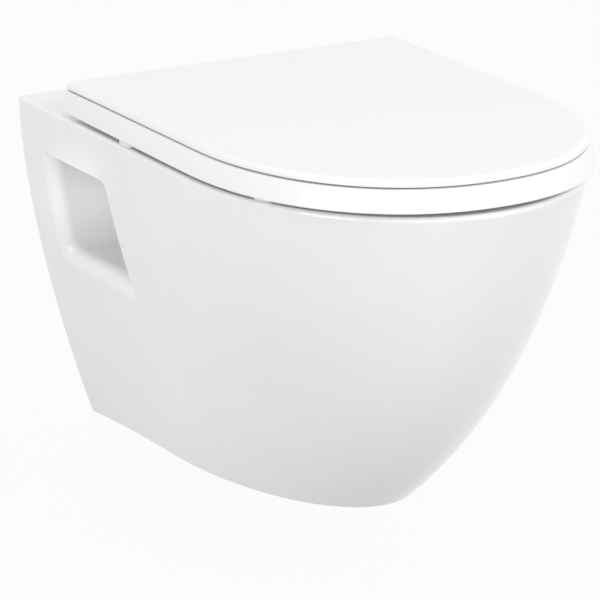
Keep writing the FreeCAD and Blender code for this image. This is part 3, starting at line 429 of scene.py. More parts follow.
UP = (0, 0, 1)
stainless = finish("turned_stainless", metal, {
    "Colour": STAINLESS, "Dull Colour": STAINLESS_DULL, "Bright": 0.14, "Dull": 0.3,
    "Mark Size": 900.0}, {"Metallic": 1.0}, bump=0.25, depth=0.04 * MM)
brass = finish("machined_brass", metal, {
    "Colour": BRASS, "Dull Colour": BRASS_DULL, "Bright": 0.18, "Dull": 0.36},
    {"Metallic": 1.0}, bump=0.3, depth=0.04 * MM)
rubber = finish("black_rubber", grain, {
    "Colour": BLACK_RUBBER, "Dark Colour": RUBBER_BLOOM, "Grain Size": 1300.0,
    "Patch Size": 70.0, "Smoother": 0.55, "Matt": 0.72}, {"IOR": 1.52},
    bump=0.4, depth=0.12 * MM)

gasket_low, gasket_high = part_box("post_gaskets")
plate_low, plate_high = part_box("post_base_plates")
expander_low, expander_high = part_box("expansion_sleeves")
cone_low, cone_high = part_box("cone_nuts")
catch_low, catch_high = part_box("release_button_left")
gasket_thick, plate_thick = gasket_high.z - gasket_low.z, plate_high.z - plate_low.z
plate_radius, expander_radius = plate_high.x - POST_X, expander_high.x - POST_X
expander_length, cone_length = expander_high.z - expander_low.z, cone_high.z - cone_low.z
head, shank = post_high.z - plate_high.z, plate_high.z - post_low.z
groove_low = catch_low.z - plate_high.z + GROOVE_INSIDE
groove_high = catch_high.z - plate_high.z - GROOVE_INSIDE
groove_radius = POST_RADIUS - GROOVE_DEPTH
# The rubber's ribs: its radius less a depth that swings as half of 1 + cos, five times over
# its length.
ribs = np.linspace(0, expander_length, RIB_POINTS)[1:-1]
rib_swing = np.cos(ribs / expander_length * 2 * RIBS * math.pi)
rib_radius = expander_radius - RIB_DEPTH * (0.5 + 0.5 * rib_swing)
rubber_end, plate_edge = expander_radius - RUBBER_END_IN, plate_radius - PLATE_IN
gaskets, plates, expanders, cones = [], [], [], []
for name, side in SIDES.items():
    foot = (side * POST_X, POST_Y)
    gaskets.append(flat_ring(STUD_RADIUS, plate_radius, gasket_thick, GASKET_EASE,
                             (*foot, gasket_low.z), UP, around=64))
    plates.append(turned(loop_of([
        (STUD_RADIUS, 0), (plate_edge, 0), (plate_edge, PLATE_LAND),
        (plate_radius - PLATE_SLOPE, plate_thick), (STUD_RADIUS, plate_thick)], PLATE_EASE),
        (*foot, plate_low.z), UP, around=64, closed=True))
    expanders.append(turned(np.concatenate([
        [(STUD_RADIUS, 0), (rubber_end, 0)], np.column_stack([rib_radius, ribs]),
        [(rubber_end, expander_length), (STUD_RADIUS, expander_length)]]),
        (*foot, expander_low.z), UP, closed=True))
    cones.append(turned(loop_of([
        (STUD_RADIUS, 0), (STUD_RADIUS + CONE_NOSE, 0),
        (expander_radius, cone_length - CONE_LAND), (expander_radius, cone_length),
        (STUD_RADIUS, cone_length)], CONE_EASE), (*foot, cone_low.z), UP, closed=True))
    post = np.concatenate([
        [(0, -shank), (STUD_RADIUS - THREAD_DEPTH, -shank)],
        thread(STUD_RADIUS, THREAD_DEPTH, STUD_TIP - shank, -STUD_RELIEF, STUD_PITCH),
        ease([(STUD_RADIUS, 0), (POST_RADIUS, 0), (POST_RADIUS, groove_low),
              (groove_radius, groove_low), (groove_radius, groove_high),
              (POST_RADIUS, groove_high), (POST_RADIUS, head - POST_SLOPE),
              (POST_RADIUS - POST_TIP_IN, head), (0, head)], POST_EASE, steps=3)])
    turned_post = turned(post, (*foot, plate_high.z), UP, around=40)
    dress(make_piece("post_" + name, [turned_post], sharp=30.0), [stainless], "pan", "steel",
          "hinge_post_" + name)
dress(make_piece("gaskets", gaskets), [rubber], "pan", "rubber", "post_gaskets")
dress(make_piece("base_plates", plates), [stainless], "pan", "steel", "post_base_plates")
dress(make_piece("rubber_sleeves", expanders), [rubber], "pan", "rubber", "expansion_sleeves")
dress(make_piece("brass_cones", cones), [brass], "pan", "brass", "cone_nuts")

# ---------------------------------------------------------------- hinge blocks
# A white acetal block plugs onto each post and holds the hinge pins in a knuckle along its
# rear. A button in its rear face springs out, and pressed in it frees the catch from the
# post's groove, so the seat lifts off.
KNUCKLE, KNUCKLE_PAST, PIN_RADIUS, PIN_HELD = 6.8 * MM, 1.3 * MM, 2.5 * MM, 13 * MM
FRONT_ROUND, REAR_ROUND, TOP_SHORT, REAR_DROP = 1.6 * MM, 0.5 * MM, 0.5 * MM, 2 * MM
EDGE, PLAY, STROKE, TOOL = 0.9 * MM, 0.15 * MM, 2 * MM, 6 * MM
SOCKET_RADIUS = POST_RADIUS + 0.3 * MM
SLOT_CORNER, SLOT_EDGE = 0.9 * MM, 0.1 * MM
BUTTON_CORNER, BUTTON_EDGE, BUTTON_BEHIND_GRIPS = 0.8 * MM, 0.5 * MM, 0.4 * MM
GRIP_END, GRIP_DEEP, GRIP_HIGH, GRIP_CORNER, GRIP_EDGE = (
    2.5 * MM, 1 * MM, 0.6 * MM, 0.25 * MM, 0.15 * MM)
GRIP_LEVELS = np.array([1.2, 2.3, 3.4]) * MM
LEAST_CORNER, KNUCKLE_POINTS, EDGE_POINTS = 0.02, 28, 5
SPRING_RADIUS, WIRE, COILS, COIL_POINTS, WIRE_POINTS = 2 * MM, 0.3 * MM, 7, 24, 10
SPRING_GREY, SPRING_DULL = (0.50, 0.50, 0.51, 1.0), (0.36, 0.36, 0.37, 1.0)

axle_low, axle_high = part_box("seat_hinge_pin")
AXIS_Y, AXIS_Z = (axle_low.y + axle_high.y) / 2, (axle_low.z + axle_high.z) / 2
block_low, block_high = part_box("hinge_block_left")


def block_side(inset):
    """The block's side view, drawn in by the inset: flat base, upright front, level top, and
    the knuckle's arc, the hinge axis + radius times (cos, sin), down to the rear face."""
    low, high, radius = block_low.z + inset, AXIS_Z - inset, KNUCKLE - inset
    front_face, rear_face = block_low.y + inset, block_high.y - KNUCKLE_PAST - inset
    turn = np.linspace(math.pi + math.asin(inset / radius), 0, KNUCKLE_POINTS)
    arc = np.column_stack([AXIS_Y + radius * np.cos(turn), AXIS_Z + radius * np.sin(turn)])
    front = ease([(rear_face, low), (front_face, low), (front_face, high),
                  (arc[0, 0] - TOP_SHORT, high)], FRONT_ROUND, steps=6)
    rear = ease([arc[-1], (rear_face, AXIS_Z - REAR_DROP), (rear_face, low)], REAR_ROUND,
                steps=3)
    return np.concatenate([front, arc, rear[1:-1]])


def carried(outline, start, end, edge):
    """A side view carried along X from start to end. Over each rounded end it is drawn in by
    edge times (1 - sin) at edge times (1 - cos) from the end, and it closes on its middle."""
    way = 1 if end > start else -1
    turn = np.linspace(0, math.pi / 2, EDGE_POINTS)
    insets, steps = edge * (1 - np.sin(turn)), edge * (1 - np.cos(turn))
    rings = [np.broadcast_to(outline(edge).mean(axis=0), outline(edge).shape)]
    rings += [outline(inset) for inset in insets]
    rings += rings[::-1]
    along = np.concatenate([[start], start + way * steps, (end - way * steps)[::-1], [end]])
    return shell([np.column_stack([np.full(len(ring), x), ring])
                  for ring, x in zip(rings, along)])


def slab(low, high, corner, edge, upright=2, steps=6):
    """A box with rounded corners in plan and eased edges. At each angle the plan is the
    nearest corner's centre + (corner - inset) times (cos, sin), and such plans are stacked
    along the upright axis, their inset following an eased line at both ends."""
    order = [(upright + 1) % 3, (upright + 2) % 3, upright]
    low, high = np.array(low, float)[order], np.array(high, float)[order]
    middle = (low[:2] + high[:2]) / 2
    turn = np.linspace(0, 2 * math.pi, 4 * steps, endpoint=False) + math.pi / 4 / steps
    spokes = np.column_stack([np.cos(turn), np.sin(turn)])
    centres = middle + np.sign(spokes) * ((high[:2] - low[:2]) / 2 - corner)
    rings, levels = [np.broadcast_to(middle, centres.shape)], [low[2]]
    side = ease([(edge * 2, low[2]), (0.0, low[2]), (0.0, high[2]), (edge * 2, high[2])], edge)
    for inset, level in side[1:-1]:
        rings.append(centres + spokes * max(corner - inset, LEAST_CORNER * corner))
        levels.append(level)
    rings.append(rings[0])
    levels.append(high[2])
    stacked = np.array([np.column_stack([ring, np.full(len(ring), level)])
                        for ring, level in zip(rings, levels)])
    return shell(stacked[:, :, np.argsort(order)])


def carve(piece, tools, way="DIFFERENCE"):
    """Cut tools out of a piece, or join them on, one after another. Each tool is a closed
    shell, and the piece keeps what lies outside it, or gains what lies inside it."""
    for tool in tools:
        other = make_piece("tool", [tool])
        step = piece.modifiers.new("carve", "BOOLEAN")
        step.object, step.operation, step.solver = other, way, "EXACT"
        depsgraph = bpy.context.evaluated_depsgraph_get()
        shaped = bpy.data.meshes.new_from_object(piece.evaluated_get(depsgraph))
        piece.modifiers.clear()
        piece.data = shaped
        bpy.data.objects.remove(other)
    piece.data.shade_smooth()
    piece.data.set_sharp_from_angle(angle=math.radians(SHARP_ANGLE))


def drill(radius, centre, axis, depth):
    """A plain bore's tool: a cylinder from the centre along the axis."""
    return turned([(0, 0), (radius, 0), (radius, depth), (0, depth)], centre, axis, around=40)


def coil(radius, wire, turns, start, length):
    """A compression spring along -Y: a circle of wire carried along a helix. The helix goes
    out by one wire radius over the first and the last turn, which close it flat, and evenly
    over the turns between."""
    share = np.linspace(0, 1, turns * COIL_POINTS + 1)
    open_turns = np.clip((share * turns - 1) / (turns - 2), 0, 1)
    advance = wire + np.clip(share * turns, 0, 1) * wire + open_turns * (length - 4 * wire)
    advance += np.clip(share * turns - turns + 1, 0, 1) * wire
    swing = share * turns * 2 * math.pi
    spoke = np.column_stack([np.cos(swing), np.zeros_like(swing), np.sin(swing)])
    path = start + (radius - wire) * spoke + advance[:, None] * np.array([0, -1, 0])
    turn = np.linspace(0, 2 * math.pi, WIRE_POINTS, endpoint=False)
    rings = path[:, None] + wire * (np.cos(turn)[None, :, None] * spoke[:, None]
                                    + np.sin(turn)[None, :, None] * np.array([0, -1, 0]))
    ends = [np.broadcast_to(path[end], rings[0].shape) for end in (0, -1)]
    return shell([ends[0], *rings, ends[1]])


spring_steel = finish("spring_steel_wire", metal, {
    "Colour": SPRING_GREY, "Dull Colour": SPRING_DULL, "Bright": 0.2, "Dull": 0.38,
    "Mark Size": 1500.0}, {"Metallic": 1.0}, bump=0.2, depth=0.02 * MM)
for name, side in SIDES.items():
    block_low, block_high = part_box("hinge_block_" + name)
    button_low, button_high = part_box("release_button_" + name)
    spring_low, spring_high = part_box("button_spring_" + name)
    spring_length = spring_high.y - spring_low.y
    spring_start = np.array([side * POST_X, spring_high.y, (spring_low.z + spring_high.z) / 2])
    block = make_piece("block_" + name, [carried(block_side, block_low.x, block_high.x, EDGE)])
    carve(block, [
        drill(PIN_RADIUS, (block_low.x - TOOL, AXIS_Y, AXIS_Z), (1, 0, 0), PIN_HELD + TOOL),
        drill(PIN_RADIUS, (block_high.x + TOOL, AXIS_Y, AXIS_Z), (-1, 0, 0), PIN_HELD + TOOL),
        drill(SOCKET_RADIUS, (side * POST_X, POST_Y, block_low.z - TOOL), UP,
              post_high.z + 2 * PLAY - block_low.z + TOOL),
        slab(np.array(button_low) - (PLAY, STROKE + PLAY, PLAY),
             np.array(button_high) + (PLAY, TOOL, PLAY), SLOT_CORNER, SLOT_EDGE, upright=1),
        drill(SPRING_RADIUS + PLAY, spring_start, INTO_ROOM, spring_length)])
    dress(block, [white_plastic], "hinge_carrier", "white_plastic", "hinge_block_" + name)
    grips = [slab((button_low.x + GRIP_END, button_high.y - GRIP_DEEP, level),
                  (button_high.x - GRIP_END, button_high.y, level + GRIP_HIGH),
                  GRIP_CORNER, GRIP_EDGE) for level in button_low.z + GRIP_LEVELS]
    button = slab(button_low,
                  (button_high.x, button_high.y - BUTTON_BEHIND_GRIPS, button_high.z),
                  BUTTON_CORNER, BUTTON_EDGE, upright=1)
    dress(make_piece("button_" + name, [button, *grips]), [white_plastic], "button_" + name,
          "white_plastic", "release_button_" + name)
    spring = make_piece("spring_" + name, [
        coil(SPRING_RADIUS, WIRE, COILS, spring_start, spring_length)], sharp=60.0)
    dress(spring, [spring_steel], "hinge_carrier", "spring_steel", "button_spring_" + name)
    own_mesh(spring)

# ---------------------------------------------------------------- pins and soft-close dampers
# Ground steel pins carry the seat on the left and the lid on the right. On the other side of
# each sits a damper: a black nylon housing in the moulding and a steel shaft held in the block.
HOUSING, HOUSING_DEEP = (0.035, 0.035, 0.038, 1.0), (0.05, 0.05, 0.053, 1.0)
SHAFT_BORE, SHAFT_ROOM, BEVEL = 2.58 * MM, 8 * MM, 0.4 * MM
WAIST_IN, HOUSING_EASE = 0.3 * MM, 0.3 * MM
WAIST_START, WAIST_DOWN, WAIST_UP, WAIST_END = 3 * MM, 3.1 * MM, 4.1 * MM, 4.2 * MM
PIN_PLAY, PIN_END_ROOM = 0.08 * MM, 1 * MM

ground_steel = finish("ground_steel", metal, {
    "Colour": STAINLESS, "Dull Colour": ZINC_DULL, "Bright": 0.1, "Dull": 0.22,
    "Mark Size": 1100.0}, {"Metallic": 1.0}, bump=0.15, depth=0.03 * MM)
damper_plastic = finish("black_nylon", grain, {
    "Colour": HOUSING, "Dark Colour": HOUSING_DEEP, "Grain Size": 1500.0,
    "Patch Size": 80.0, "Smoother": 0.32, "Matt": 0.45}, {"IOR": 1.53},
    bump=0.25, depth=0.08 * MM)
for node in ("seat_hinge_pin", "lid_hinge_pin", "lid_damper_shaft", "seat_damper_shaft"):
    low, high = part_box(node)
    length = high.x - low.x
    profile = [(0, 0), (PIN_RADIUS - BEVEL, 0), (PIN_RADIUS, BEVEL),
               (PIN_RADIUS, length - BEVEL), (PIN_RADIUS - BEVEL, length), (0, length)]
    pin = make_piece(node + "_turned", [
        turned(profile, (low.x, AXIS_Y, AXIS_Z), (1, 0, 0), around=40)])
    dress(pin, [ground_steel], "hinge_carrier", "steel", node)
for node, body in (("lid_damper", "lid"), ("seat_damper", "seat")):
    low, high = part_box(node)
    length, radius = high.x - low.x, (high.z - low.z) / 2
    profile = [(0, SHAFT_ROOM), *ease([
        (SHAFT_BORE, SHAFT_ROOM), (SHAFT_BORE, 0), (radius, 0), (radius, WAIST_START),
        (radius - WAIST_IN, WAIST_DOWN), (radius - WAIST_IN, WAIST_UP), (radius, WAIST_END),
        (radius, length), (0, length)], HOUSING_EASE, steps=3)]
    housing = make_piece(node + "_housing", [
        turned(profile, (high.x, AXIS_Y, AXIS_Z), (-1, 0, 0), around=40)])
    dress(housing, [damper_plastic], body, "damper_plastic", node)

# ---------------------------------------------------------------- seat ring
# Pressed in one shot from white duroplast, hollow underneath. Its outer band leans outwards
# to cover the rim, its top dips a little towards the opening, and two notches at the rear
# leave room for the hinge blocks.
DUROPLAST, DUROPLAST_DEEP = (0.869, 0.878, 0.889, 1.0), (0.856, 0.866, 0.878, 1.0)
D_STRAIGHT, D_CORNER, D_LEAST_CORNER, D_POWER = -325 * MM, 6 * MM, 0.6 * MM, 2.16
NOSE_POINTS, SIDE_POINTS, CORNER_POINTS, REAR_POINTS = 90, 44, 8, 60
SEAT_FLARE, SEAT_FLARE_REAR, SEAT_PROUD, FLARE_FADE = 7.2 * MM, 3.2 * MM, 0.3 * MM, 1.5
SEAT_REAR_LIFT, SEAT_LIFT_HELD, SEAT_DISH = 7 * MM, 0.995, 1.4 * MM
SEAT_SHOULDER, SEAT_EASE, SEAT_FOOT_EASE = 5 * MM, 1.8 * MM, 1.5 * MM
SEAT_SKIN, SEAT_RIM, TUCK = 7 * MM, 9 * MM, 4 * MM
HOLE_HALF, HOLE_FRONT, HOLE_REAR, HOLE_ROUND = 108 * MM, -478 * MM, -218 * MM, 7 * MM
HOLE_EASE_SHARE, HOLE_STEPS, TOP_STEPS = 0.98, 9, 20
COVE_IN, COVE_DRAFT, COVE_ROUND = np.array([0, 0.6, 1.5, 2, 3]) * MM, 1.5 * MM, 0.5 * MM
BACK_OFF_MOST, NEVER_ZERO = 0.9, 1e-9
NOTCH_NEAR, NOTCH_FAR, NOTCH_ROOM = 61.2 * MM, 121.8 * MM, 2 * MM
NOTCH_PAST, NOTCH_CORNER, NOTCH_EDGE = 30 * MM, 2 * MM, 0.5 * MM

lid_low, lid_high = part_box("lid")
seat_low, seat_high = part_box("seat_ring")
D_HALF, D_FRONT, D_REAR = lid_high.x, lid_low.y, lid_high.y
RECESS_REAR = block_low.y - NOTCH_ROOM - SEAT_RIM
duroplast = finish("white_duroplast", flow, {
    "Colour": DUROPLAST, "Thin Colour": DUROPLAST_DEEP, "Flow Size": 6.0, "Peel Size": 420.0,
    "Smooth": 0.10, "Satin": 0.18}, {"IOR": 1.5, "Coat Weight": 0.15, "Coat Roughness": 0.06},
    bump=0.18, depth=0.8 * MM)


def d_plan(grow, rear_grow=None):
    """The D, grown outwards: half its rear edge, a corner arc, a straight side, the nose, and
    the mirror image of all that. The nose is a superellipse: half the width times cos to the
    power 2 / p, and its reach times sin to the same power."""
    rear = D_REAR + (grow if rear_grow is None else rear_grow)
    half, reach = D_HALF + grow, D_STRAIGHT - D_FRONT + grow
    corner = max(D_CORNER + min(grow, 0), D_LEAST_CORNER)
    turn = np.linspace(math.pi / 2, 0, CORNER_POINTS, endpoint=False)
    nose = np.linspace(0, math.pi / 2, NOSE_POINTS, endpoint=False)
    x = np.concatenate([
        np.linspace(0, half - corner, REAR_POINTS, endpoint=False),
        half - corner + corner * np.cos(turn), np.full(SIDE_POINTS, half),
        half * np.cos(nose) ** (2 / D_POWER), [0.0]])
    y = np.concatenate([
        np.full(REAR_POINTS, rear), rear - corner + corner * np.sin(turn),
        np.linspace(rear - corner, D_STRAIGHT, SIDE_POINTS, endpoint=False),
        D_STRAIGHT - reach * np.sin(nose) ** (2 / D_POWER), [D_STRAIGHT - reach]])
    return np.column_stack([np.append(x, -x[-2:0:-1]), np.append(y, y[-2:0:-1])])


def at_height(plan, level):
    """A plan at a height, or at one height for each point."""
    return np.column_stack([plan, np.broadcast_to(level, len(plan))])


hole_centre = np.array([0.0, (HOLE_FRONT + HOLE_REAR) / 2])
hole_size = np.array([HOLE_HALF, (HOLE_REAR - HOLE_FRONT) / 2])
compass = (d_plan(0.0) - hole_centre) / hole_size
compass = np.arctan2(compass[:, 1], compass[:, 0])


def hole_plan(grow):
    """The opening's oval, grown: its centre + its half sizes times (cos, sin) of the angle
    at which each point of the D is seen from there, with the oval scaled to a circle."""
    return hole_centre + (hole_size + grow) * np.column_stack([np.cos(compass), np.sin(compass)])


def band_plan(grow, rear_grow):
    """The D grown by less and less towards the wall, where the band stands almost upright:
    the width is scaled down by part of the growth times a power of the way to the rear."""
    plan = d_plan(grow, rear_grow)
    back = np.clip((plan[:, 1] - D_STRAIGHT) / (D_REAR - D_STRAIGHT), 0, 1) ** FLARE_FADE
    spare = max(grow, 0) * (1 - SEAT_FLARE_REAR / SEAT_FLARE)
    plan[:, 0] *= 1 - spare * back / D_HALF
    return plan


def underside(plan):
    """Height of the seat's underside: level, then a quarter circle up over the last few
    millimetres at the rear, the radius less the root of radius squared - way squared."""
    way = np.clip(plan[:, 1] - (D_REAR - SEAT_REAR_LIFT), 0, SEAT_REAR_LIFT * SEAT_LIFT_HELD)
    return seat_low.z + SEAT_REAR_LIFT - np.sqrt(SEAT_REAR_LIFT ** 2 - way ** 2)


# Up the outer band and over its shoulder.
rings = []
height = seat_high.z - seat_low.z
shoulder_grow = SEAT_PROUD - SEAT_SHOULDER
for grow, level in ease([(SEAT_FLARE - TUCK, seat_low.z), (SEAT_FLARE, seat_low.z),
                         (SEAT_PROUD, seat_high.z), (shoulder_grow, seat_high.z)], SEAT_EASE):
    share = (level - seat_low.z) / height
    leaning = SEAT_FLARE + (SEAT_PROUD - SEAT_FLARE) * share
    plan = band_plan(grow, min(grow - leaning, 0.0))
    rings.append(at_height(plan, underside(plan) * (1 - share) + seat_high.z * share))
# Across the top, which dips by the square of the way in, and down round the opening's lip.
shoulder, brink = band_plan(shoulder_grow, -SEAT_SHOULDER), hole_plan(HOLE_ROUND)
for share in np.linspace(0, 1, TOP_STEPS)[1:]:
    rings.append(at_height(shoulder + (brink - shoulder) * share,
                           seat_high.z - SEAT_DISH * share ** 2))
lip_high = seat_high.z - SEAT_DISH
lip = ease([(HOLE_ROUND, lip_high), (0.0, lip_high), (0.0, seat_low.z)],
           HOLE_ROUND * HOLE_EASE_SHARE, HOLE_STEPS)[1:-1]
foot = ease([(0.0, seat_low.z + TUCK), (0.0, seat_low.z), (TUCK, seat_low.z)], SEAT_FOOT_EASE)
rings += [at_height(hole_plan(grow), level) for grow, level in np.concatenate([lip, foot])]
# Up into the hollow along its inner wall, across its ceiling, and down the outer wall, which
# stays in front of the notches.
ceiling = seat_high.z - SEAT_SKIN
inner_wall, outer_edge = hole_plan(SEAT_RIM), d_plan(-SEAT_RIM)
back_off = np.clip((RECESS_REAR - outer_edge[:, 1])
                   / (inner_wall[:, 1] - outer_edge[:, 1] - NEVER_ZERO), 0, BACK_OFF_MOST)
back_off = np.where(outer_edge[:, 1] > RECESS_REAR, back_off, 0)[:, None]
outer_wall = outer_edge + (inner_wall - outer_edge) * back_off
inward = inner_wall - outer_wall
inward /= np.linalg.norm(inward, axis=1)[:, None]
cove = list(zip(COVE_IN, [seat_low.z, seat_low.z + COVE_DRAFT, ceiling - COVE_DRAFT,
                          ceiling - COVE_ROUND, ceiling]))
rings += [at_height(inner_wall - inward * inset, level) for inset, level in cove]
rings += [at_height(outer_wall + inward * inset, level) for inset, level in cove[::-1]]
plan = (outer_wall + band_plan(SEAT_FLARE - TUCK, -TUCK)) / 2
rings.append(at_height(plan, underside(plan)))
seat = make_piece("seat_ring_moulding", [shell(rings, closed=True)])
# The notches, and from each of them the bore for the pin or the damper.
cutters = []
for side, node in ((-1, "seat_hinge_pin"), (1, "seat_damper")):
    near, far = sorted((side * NOTCH_NEAR, side * NOTCH_FAR))
    cutters.append(slab((near, block_low.y - NOTCH_ROOM, seat_low.z - TOOL),
                        (far, D_REAR + NOTCH_PAST, seat_high.z + TOOL),
                        NOTCH_CORNER, NOTCH_EDGE))
    low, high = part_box(node)
    depth = NOTCH_NEAR - min(abs(low.x), abs(high.x)) + TOOL
    cutters.append(drill((high.z - low.z) / 2 + PIN_PLAY,
                         (side * (NOTCH_NEAR + TOOL), AXIS_Y, AXIS_Z), (-side, 0, 0),
                         depth + PIN_END_ROOM))
carve(seat, cutters)
dress(seat, [duroplast], "seat", "duroplast", "seat_ring")

# ---------------------------------------------------------------- seat and lid buffers
# Soft translucent-white pads pressed into the undersides: oblong ones between seat and rim,
# round ones between lid and seat.
BUFFER, BUFFER_DEEP = (0.80, 0.80, 0.78, 1.0), (0.74, 0.74, 0.72, 1.0)
BUFFER_SIZE, BUFFER_CORNER, BUFFER_EDGE = np.array([12, 20]) * MM, 5.4 * MM, 1.1 * MM
SIDE_BUFFER_Y, FRONT_BUFFER_X, FRONT_BUFFER_Y = -202 * MM, 153.9 * MM, -411.5 * MM
FRONT_BUFFER_TURN = 19.0
PAD_X, PAD_Y, PAD_RADIUS = 136 * MM, (-240 * MM, -405 * MM), 6 * MM
PAD_FLAT_SHARE, PAD_CROWN, PAD_SHOULDER, PAD_EASE = 0.8, 0.25 * MM, 1.2 * MM, 0.8 * MM

buffer_low, buffer_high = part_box("seat_buffers")
pad_low, pad_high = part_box("lid_buffers")
soft_white = finish("soft_white_buffer", grain, {
    "Colour": BUFFER, "Dark Colour": BUFFER_DEEP, "Grain Size": 1500.0, "Patch Size": 60.0,
    "Smoother": 0.35, "Matt": 0.5},
    {"IOR": 1.45, "Subsurface Weight": 0.2, "Subsurface Scale": 2 * MM},
    bump=0.2, depth=0.08 * MM)
side_x = buffer_high.x - BUFFER_SIZE[0] / 2
tall = pad_high.z - pad_low.z
pads, domes = [], []
for side in SIDES.values():
    for x, y, degrees in ((side_x, SIDE_BUFFER_Y, 0.0),
                          (FRONT_BUFFER_X, FRONT_BUFFER_Y, FRONT_BUFFER_TURN)):
        points, faces = slab((*-BUFFER_SIZE / 2, buffer_low.z),
                             (*BUFFER_SIZE / 2, buffer_high.z), BUFFER_CORNER, BUFFER_EDGE)
        angle = math.radians(degrees) * side
        turn = np.array([[math.cos(angle), -math.sin(angle)],
                         [math.sin(angle), math.cos(angle)]])
        placed = points[:, :2] @ turn + (side * x, y)
        pads.append((np.column_stack([placed, points[:, 2]]), faces))
    for y in PAD_Y:
        domes.append(turned(ease([
            (0, 0), (PAD_RADIUS * PAD_FLAT_SHARE, PAD_CROWN), (PAD_RADIUS, PAD_SHOULDER),
            (PAD_RADIUS, tall), (0, tall)], PAD_EASE),
            (side * PAD_X, y, pad_low.z), UP, around=40))
dress(make_piece("seat_pads", pads), [soft_white], "seat", "buffer", "seat_buffers")
dress(make_piece("lid_pads", domes), [soft_white], "lid", "buffer", "lid_buffers")

# ---------------------------------------------------------------- lid
# A slim pressed cover of the same duroplast: gently crowned, with a rolled edge, and hollowed
# below so that it closes over the seat. Two lugs at the rear ride on the hinge axis.
LID_GAP, LID_CROWN, CROWN_POWER = 1.6 * MM, 1.5 * MM, 3.0
LID_ROLL, LID_ROLL_FOOT, LID_FOOT_EASE = 5.0 * MM, 0.8 * MM, 0.6 * MM
LID_SKIN, LID_RIM, LID_COVE = 4 * MM, 9 * MM, 2 * MM
SPINE_REAR, SPINE_FRONT = -180 * MM, -400 * MM
HOLLOW_STEPS, ROLL_STEPS, CROWN_STEPS, LUG_POINTS = 10, 12, 26, 25
LUG_NEAR, LUG_LENGTH, LUG_SUNK, LUG_EDGE = 93.8 * MM, 26 * MM, 0.4 * MM, 0.6 * MM

lid_edge, edge_top = seat_high.z + LID_GAP, lid_high.z - LID_CROWN
recess = lid_high.z - LID_SKIN
spine_y = np.clip(d_plan(0.0)[:, 1], SPINE_FRONT, SPINE_REAR)
spine = np.column_stack([np.zeros(len(compass)), spine_y])


def crowned(plan, top, shares):
    """A crowned face from a plan in to the spine along the lid's middle. At each share of
    the way in it lies lower than its top by the crown times (1 - share) cubed."""
    return [at_height(plan + (spine - plan) * share,
                      top - LID_CROWN * (1 - share) ** CROWN_POWER) for share in shares]


# Out across the hollow's ceiling, down its wall, round the foot and up the edge.
rings = crowned(d_plan(-LID_RIM - LID_COVE), recess, np.linspace(1, 0, HOLLOW_STEPS))
for grow, level in ease([
        (-LID_RIM - LID_COVE, recess - LID_CROWN), (-LID_RIM, recess - LID_CROWN),
        (-LID_RIM, lid_edge), (0.0, lid_edge), (0.0, edge_top)], LID_FOOT_EASE)[1:-1]:
    rings.append(at_height(d_plan(grow), level))
# The rolled edge: a quarter ellipse, in by the roll times (1 - cos), up by its height x sin.
roll = np.linspace(0, math.pi / 2, ROLL_STEPS)
roll_height = edge_top - lid_edge - LID_ROLL_FOOT
rings += [at_height(d_plan(-inset), edge_top - roll_height + rise)
          for inset, rise in zip(LID_ROLL * (1 - np.cos(roll)), roll_height * np.sin(roll))]
rings += crowned(d_plan(-LID_ROLL), lid_high.z, np.linspace(0, 1, CROWN_STEPS)[1:])
lid = make_piece("lid_moulding", [shell(rings)])


def lug_side(inset):
    """A lug's side view, drawn in by the inset: half round below the axis, which is the axis
    + radius times (cos, sin), and straight up into the lid's skin."""
    turn = np.linspace(math.pi, 2 * math.pi, LUG_POINTS)
    radius, top = KNUCKLE - inset, recess - LID_CROWN + LUG_SUNK
    arc = np.column_stack([AXIS_Y + radius * np.cos(turn), AXIS_Z + radius * np.sin(turn)])
    return np.concatenate([arc, [(AXIS_Y + radius, top), (AXIS_Y - radius, top)]])


carve(lid, [carried(lug_side, side * LUG_NEAR, side * (LUG_NEAR + LUG_LENGTH), LUG_EDGE)
            for side in SIDES.values()], "UNION")
cutters = []
for side, node in ((-1, "lid_damper"), (1, "lid_hinge_pin")):
    low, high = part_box(node)
    depth = max(abs(low.x), abs(high.x)) - LUG_NEAR + TOOL
    cutters.append(drill((high.z - low.z) / 2 + PIN_PLAY,
                         (side * (LUG_NEAR - TOOL), AXIS_Y, AXIS_Z), (side, 0, 0),
                         depth + PIN_END_ROOM))
carve(lid, cutters)
dress(lid, [duroplast], "lid", "duroplast", "lid")

# ---------------------------------------------------------------- floor, light and camera
# A pale floor 320 mm below the wall fixings, an even light tent, four soft boxes, a narrow
# snooted spot aimed into the pocket at the left, and a camera at the photograph's angle.
FLOOR_LEVEL, FLOOR_RADIUS = -0.32, 9.0
FLOOR_PALE, FLOOR_WHITE = (0.5, 0.5, 0.5, 1.0), 0.95
PURE_WHITE, TENT = (1.0, 1.0, 1.0, 1.0), 0.76
AZIMUTH, ELEVATION = math.radians(-30.10), math.radians(17.37)
DISTANCE, LENS, SENSOR = 3.79898, 256.18, 36.0
NEAREST, FARTHEST = 0.1, 50.0
AIM = Vector((-0.0268, -0.2500, -0.0707))
SOFTBOXES = [("front_right", (1.1, -2.9, 1.3), 1.8, 36.0),
             ("camera_side", (-2.1, -2.6, 1.5), 1.8, 5.0),
             ("left_low", (-3.0, -1.3, 0.5), 1.5, 27.0),
             ("overhead", (0.0, -0.7, 2.4), 2.0, 5.0)]
SNOOT_SPOT, SNOOT_AIM = (-0.799, -0.842, 0.371), (-0.135, -0.05, -0.010)
SNOOT_ANGLE, SNOOT_BLEND, SNOOT_RADIUS, SNOOT_WATTS = 4.0, 1.0, 0.03, 22.0


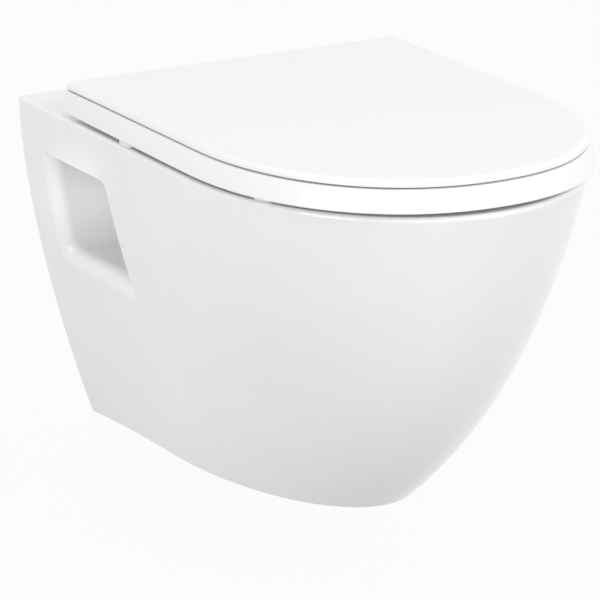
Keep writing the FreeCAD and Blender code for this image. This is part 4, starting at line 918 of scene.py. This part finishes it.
def white_to_camera(tree, lit, share):
    """A shader that shows white to the camera, in gloss and through glass, by this share, and
    is the lit one to all other rays."""
    path = add_node(tree, "ShaderNodeLightPath").outputs
    seen = calculate(tree, "MAXIMUM", path["Is Camera Ray"],
                     calculate(tree, "MAXIMUM", path["Is Glossy Ray"],
                               path["Is Transmission Ray"]))
    white = add_node(tree, "ShaderNodeEmission", {"Color": PURE_WHITE, "Strength": 1.0})
    return add_node(tree, "ShaderNodeMixShader", {
        0: calculate(tree, "MULTIPLY", seen, share), 1: lit, 2: white.outputs[0]}).outputs[0]


def hang(name, lamp, spot, aim):
    """A lamp at a spot, turned to shine at its aim."""
    hung = bpy.data.objects.new(name, lamp)
    hung.location = spot
    hung.rotation_euler = (Vector(aim) - Vector(spot)).to_track_quat("-Z", "Y").to_euler()
    bpy.context.scene.collection.objects.link(hung)


bpy.ops.mesh.primitive_circle_add(vertices=96, radius=FLOOR_RADIUS, fill_type="NGON",
                                  location=(0, 0, FLOOR_LEVEL))
floor = bpy.context.object
floor.name = "floor"
pale = bpy.data.materials.new("pale_floor")
pale.use_nodes = True
tree = pale.node_tree
tree.nodes.remove(tree.nodes["Principled BSDF"])
matt_floor = add_node(tree, "ShaderNodeBsdfDiffuse", {"Color": FLOOR_PALE})
tree.links.new(white_to_camera(tree, matt_floor.outputs[0], FLOOR_WHITE),
               tree.nodes["Material Output"].inputs["Surface"])
floor.data.materials.append(pale)

world = bpy.data.worlds.new("light_tent")
bpy.context.scene.world = world
world.use_nodes = True
tree = world.node_tree
tent = tree.nodes["Background"]
tent.inputs["Color"].default_value = PURE_WHITE
tent.inputs["Strength"].default_value = TENT
tree.links.new(white_to_camera(tree, tent.outputs[0], 1.0),
               tree.nodes["World Output"].inputs["Surface"])

for name, spot, width, watts in SOFTBOXES:
    softbox = bpy.data.lights.new(name, "AREA")
    softbox.size, softbox.energy = width, watts
    hang(name, softbox, spot, AIM)
snoot = bpy.data.lights.new("pocket_snoot", "SPOT")
snoot.energy, snoot.shadow_soft_size = SNOOT_WATTS, SNOOT_RADIUS
snoot.spot_size, snoot.spot_blend = math.radians(SNOOT_ANGLE), SNOOT_BLEND
hang("pocket_snoot", snoot, SNOOT_SPOT, SNOOT_AIM)

# The camera stands back from its aim by the distance, along (sin a cos e, -cos a cos e, sin e).
back = Vector((math.sin(AZIMUTH) * math.cos(ELEVATION),
               -math.cos(AZIMUTH) * math.cos(ELEVATION), math.sin(ELEVATION)))
camera = bpy.data.objects.new("camera", bpy.data.cameras.new("camera"))
camera.data.sensor_width, camera.data.lens = SENSOR, LENS
camera.data.clip_start, camera.data.clip_end = NEAREST, FARTHEST
camera.location = AIM + back * DISTANCE
camera.rotation_euler = (-back).to_track_quat("-Z", "Y").to_euler()
bpy.context.scene.collection.objects.link(camera)
bpy.context.scene.camera = camera
bpy.context.scene.view_settings.view_transform = "Standard"
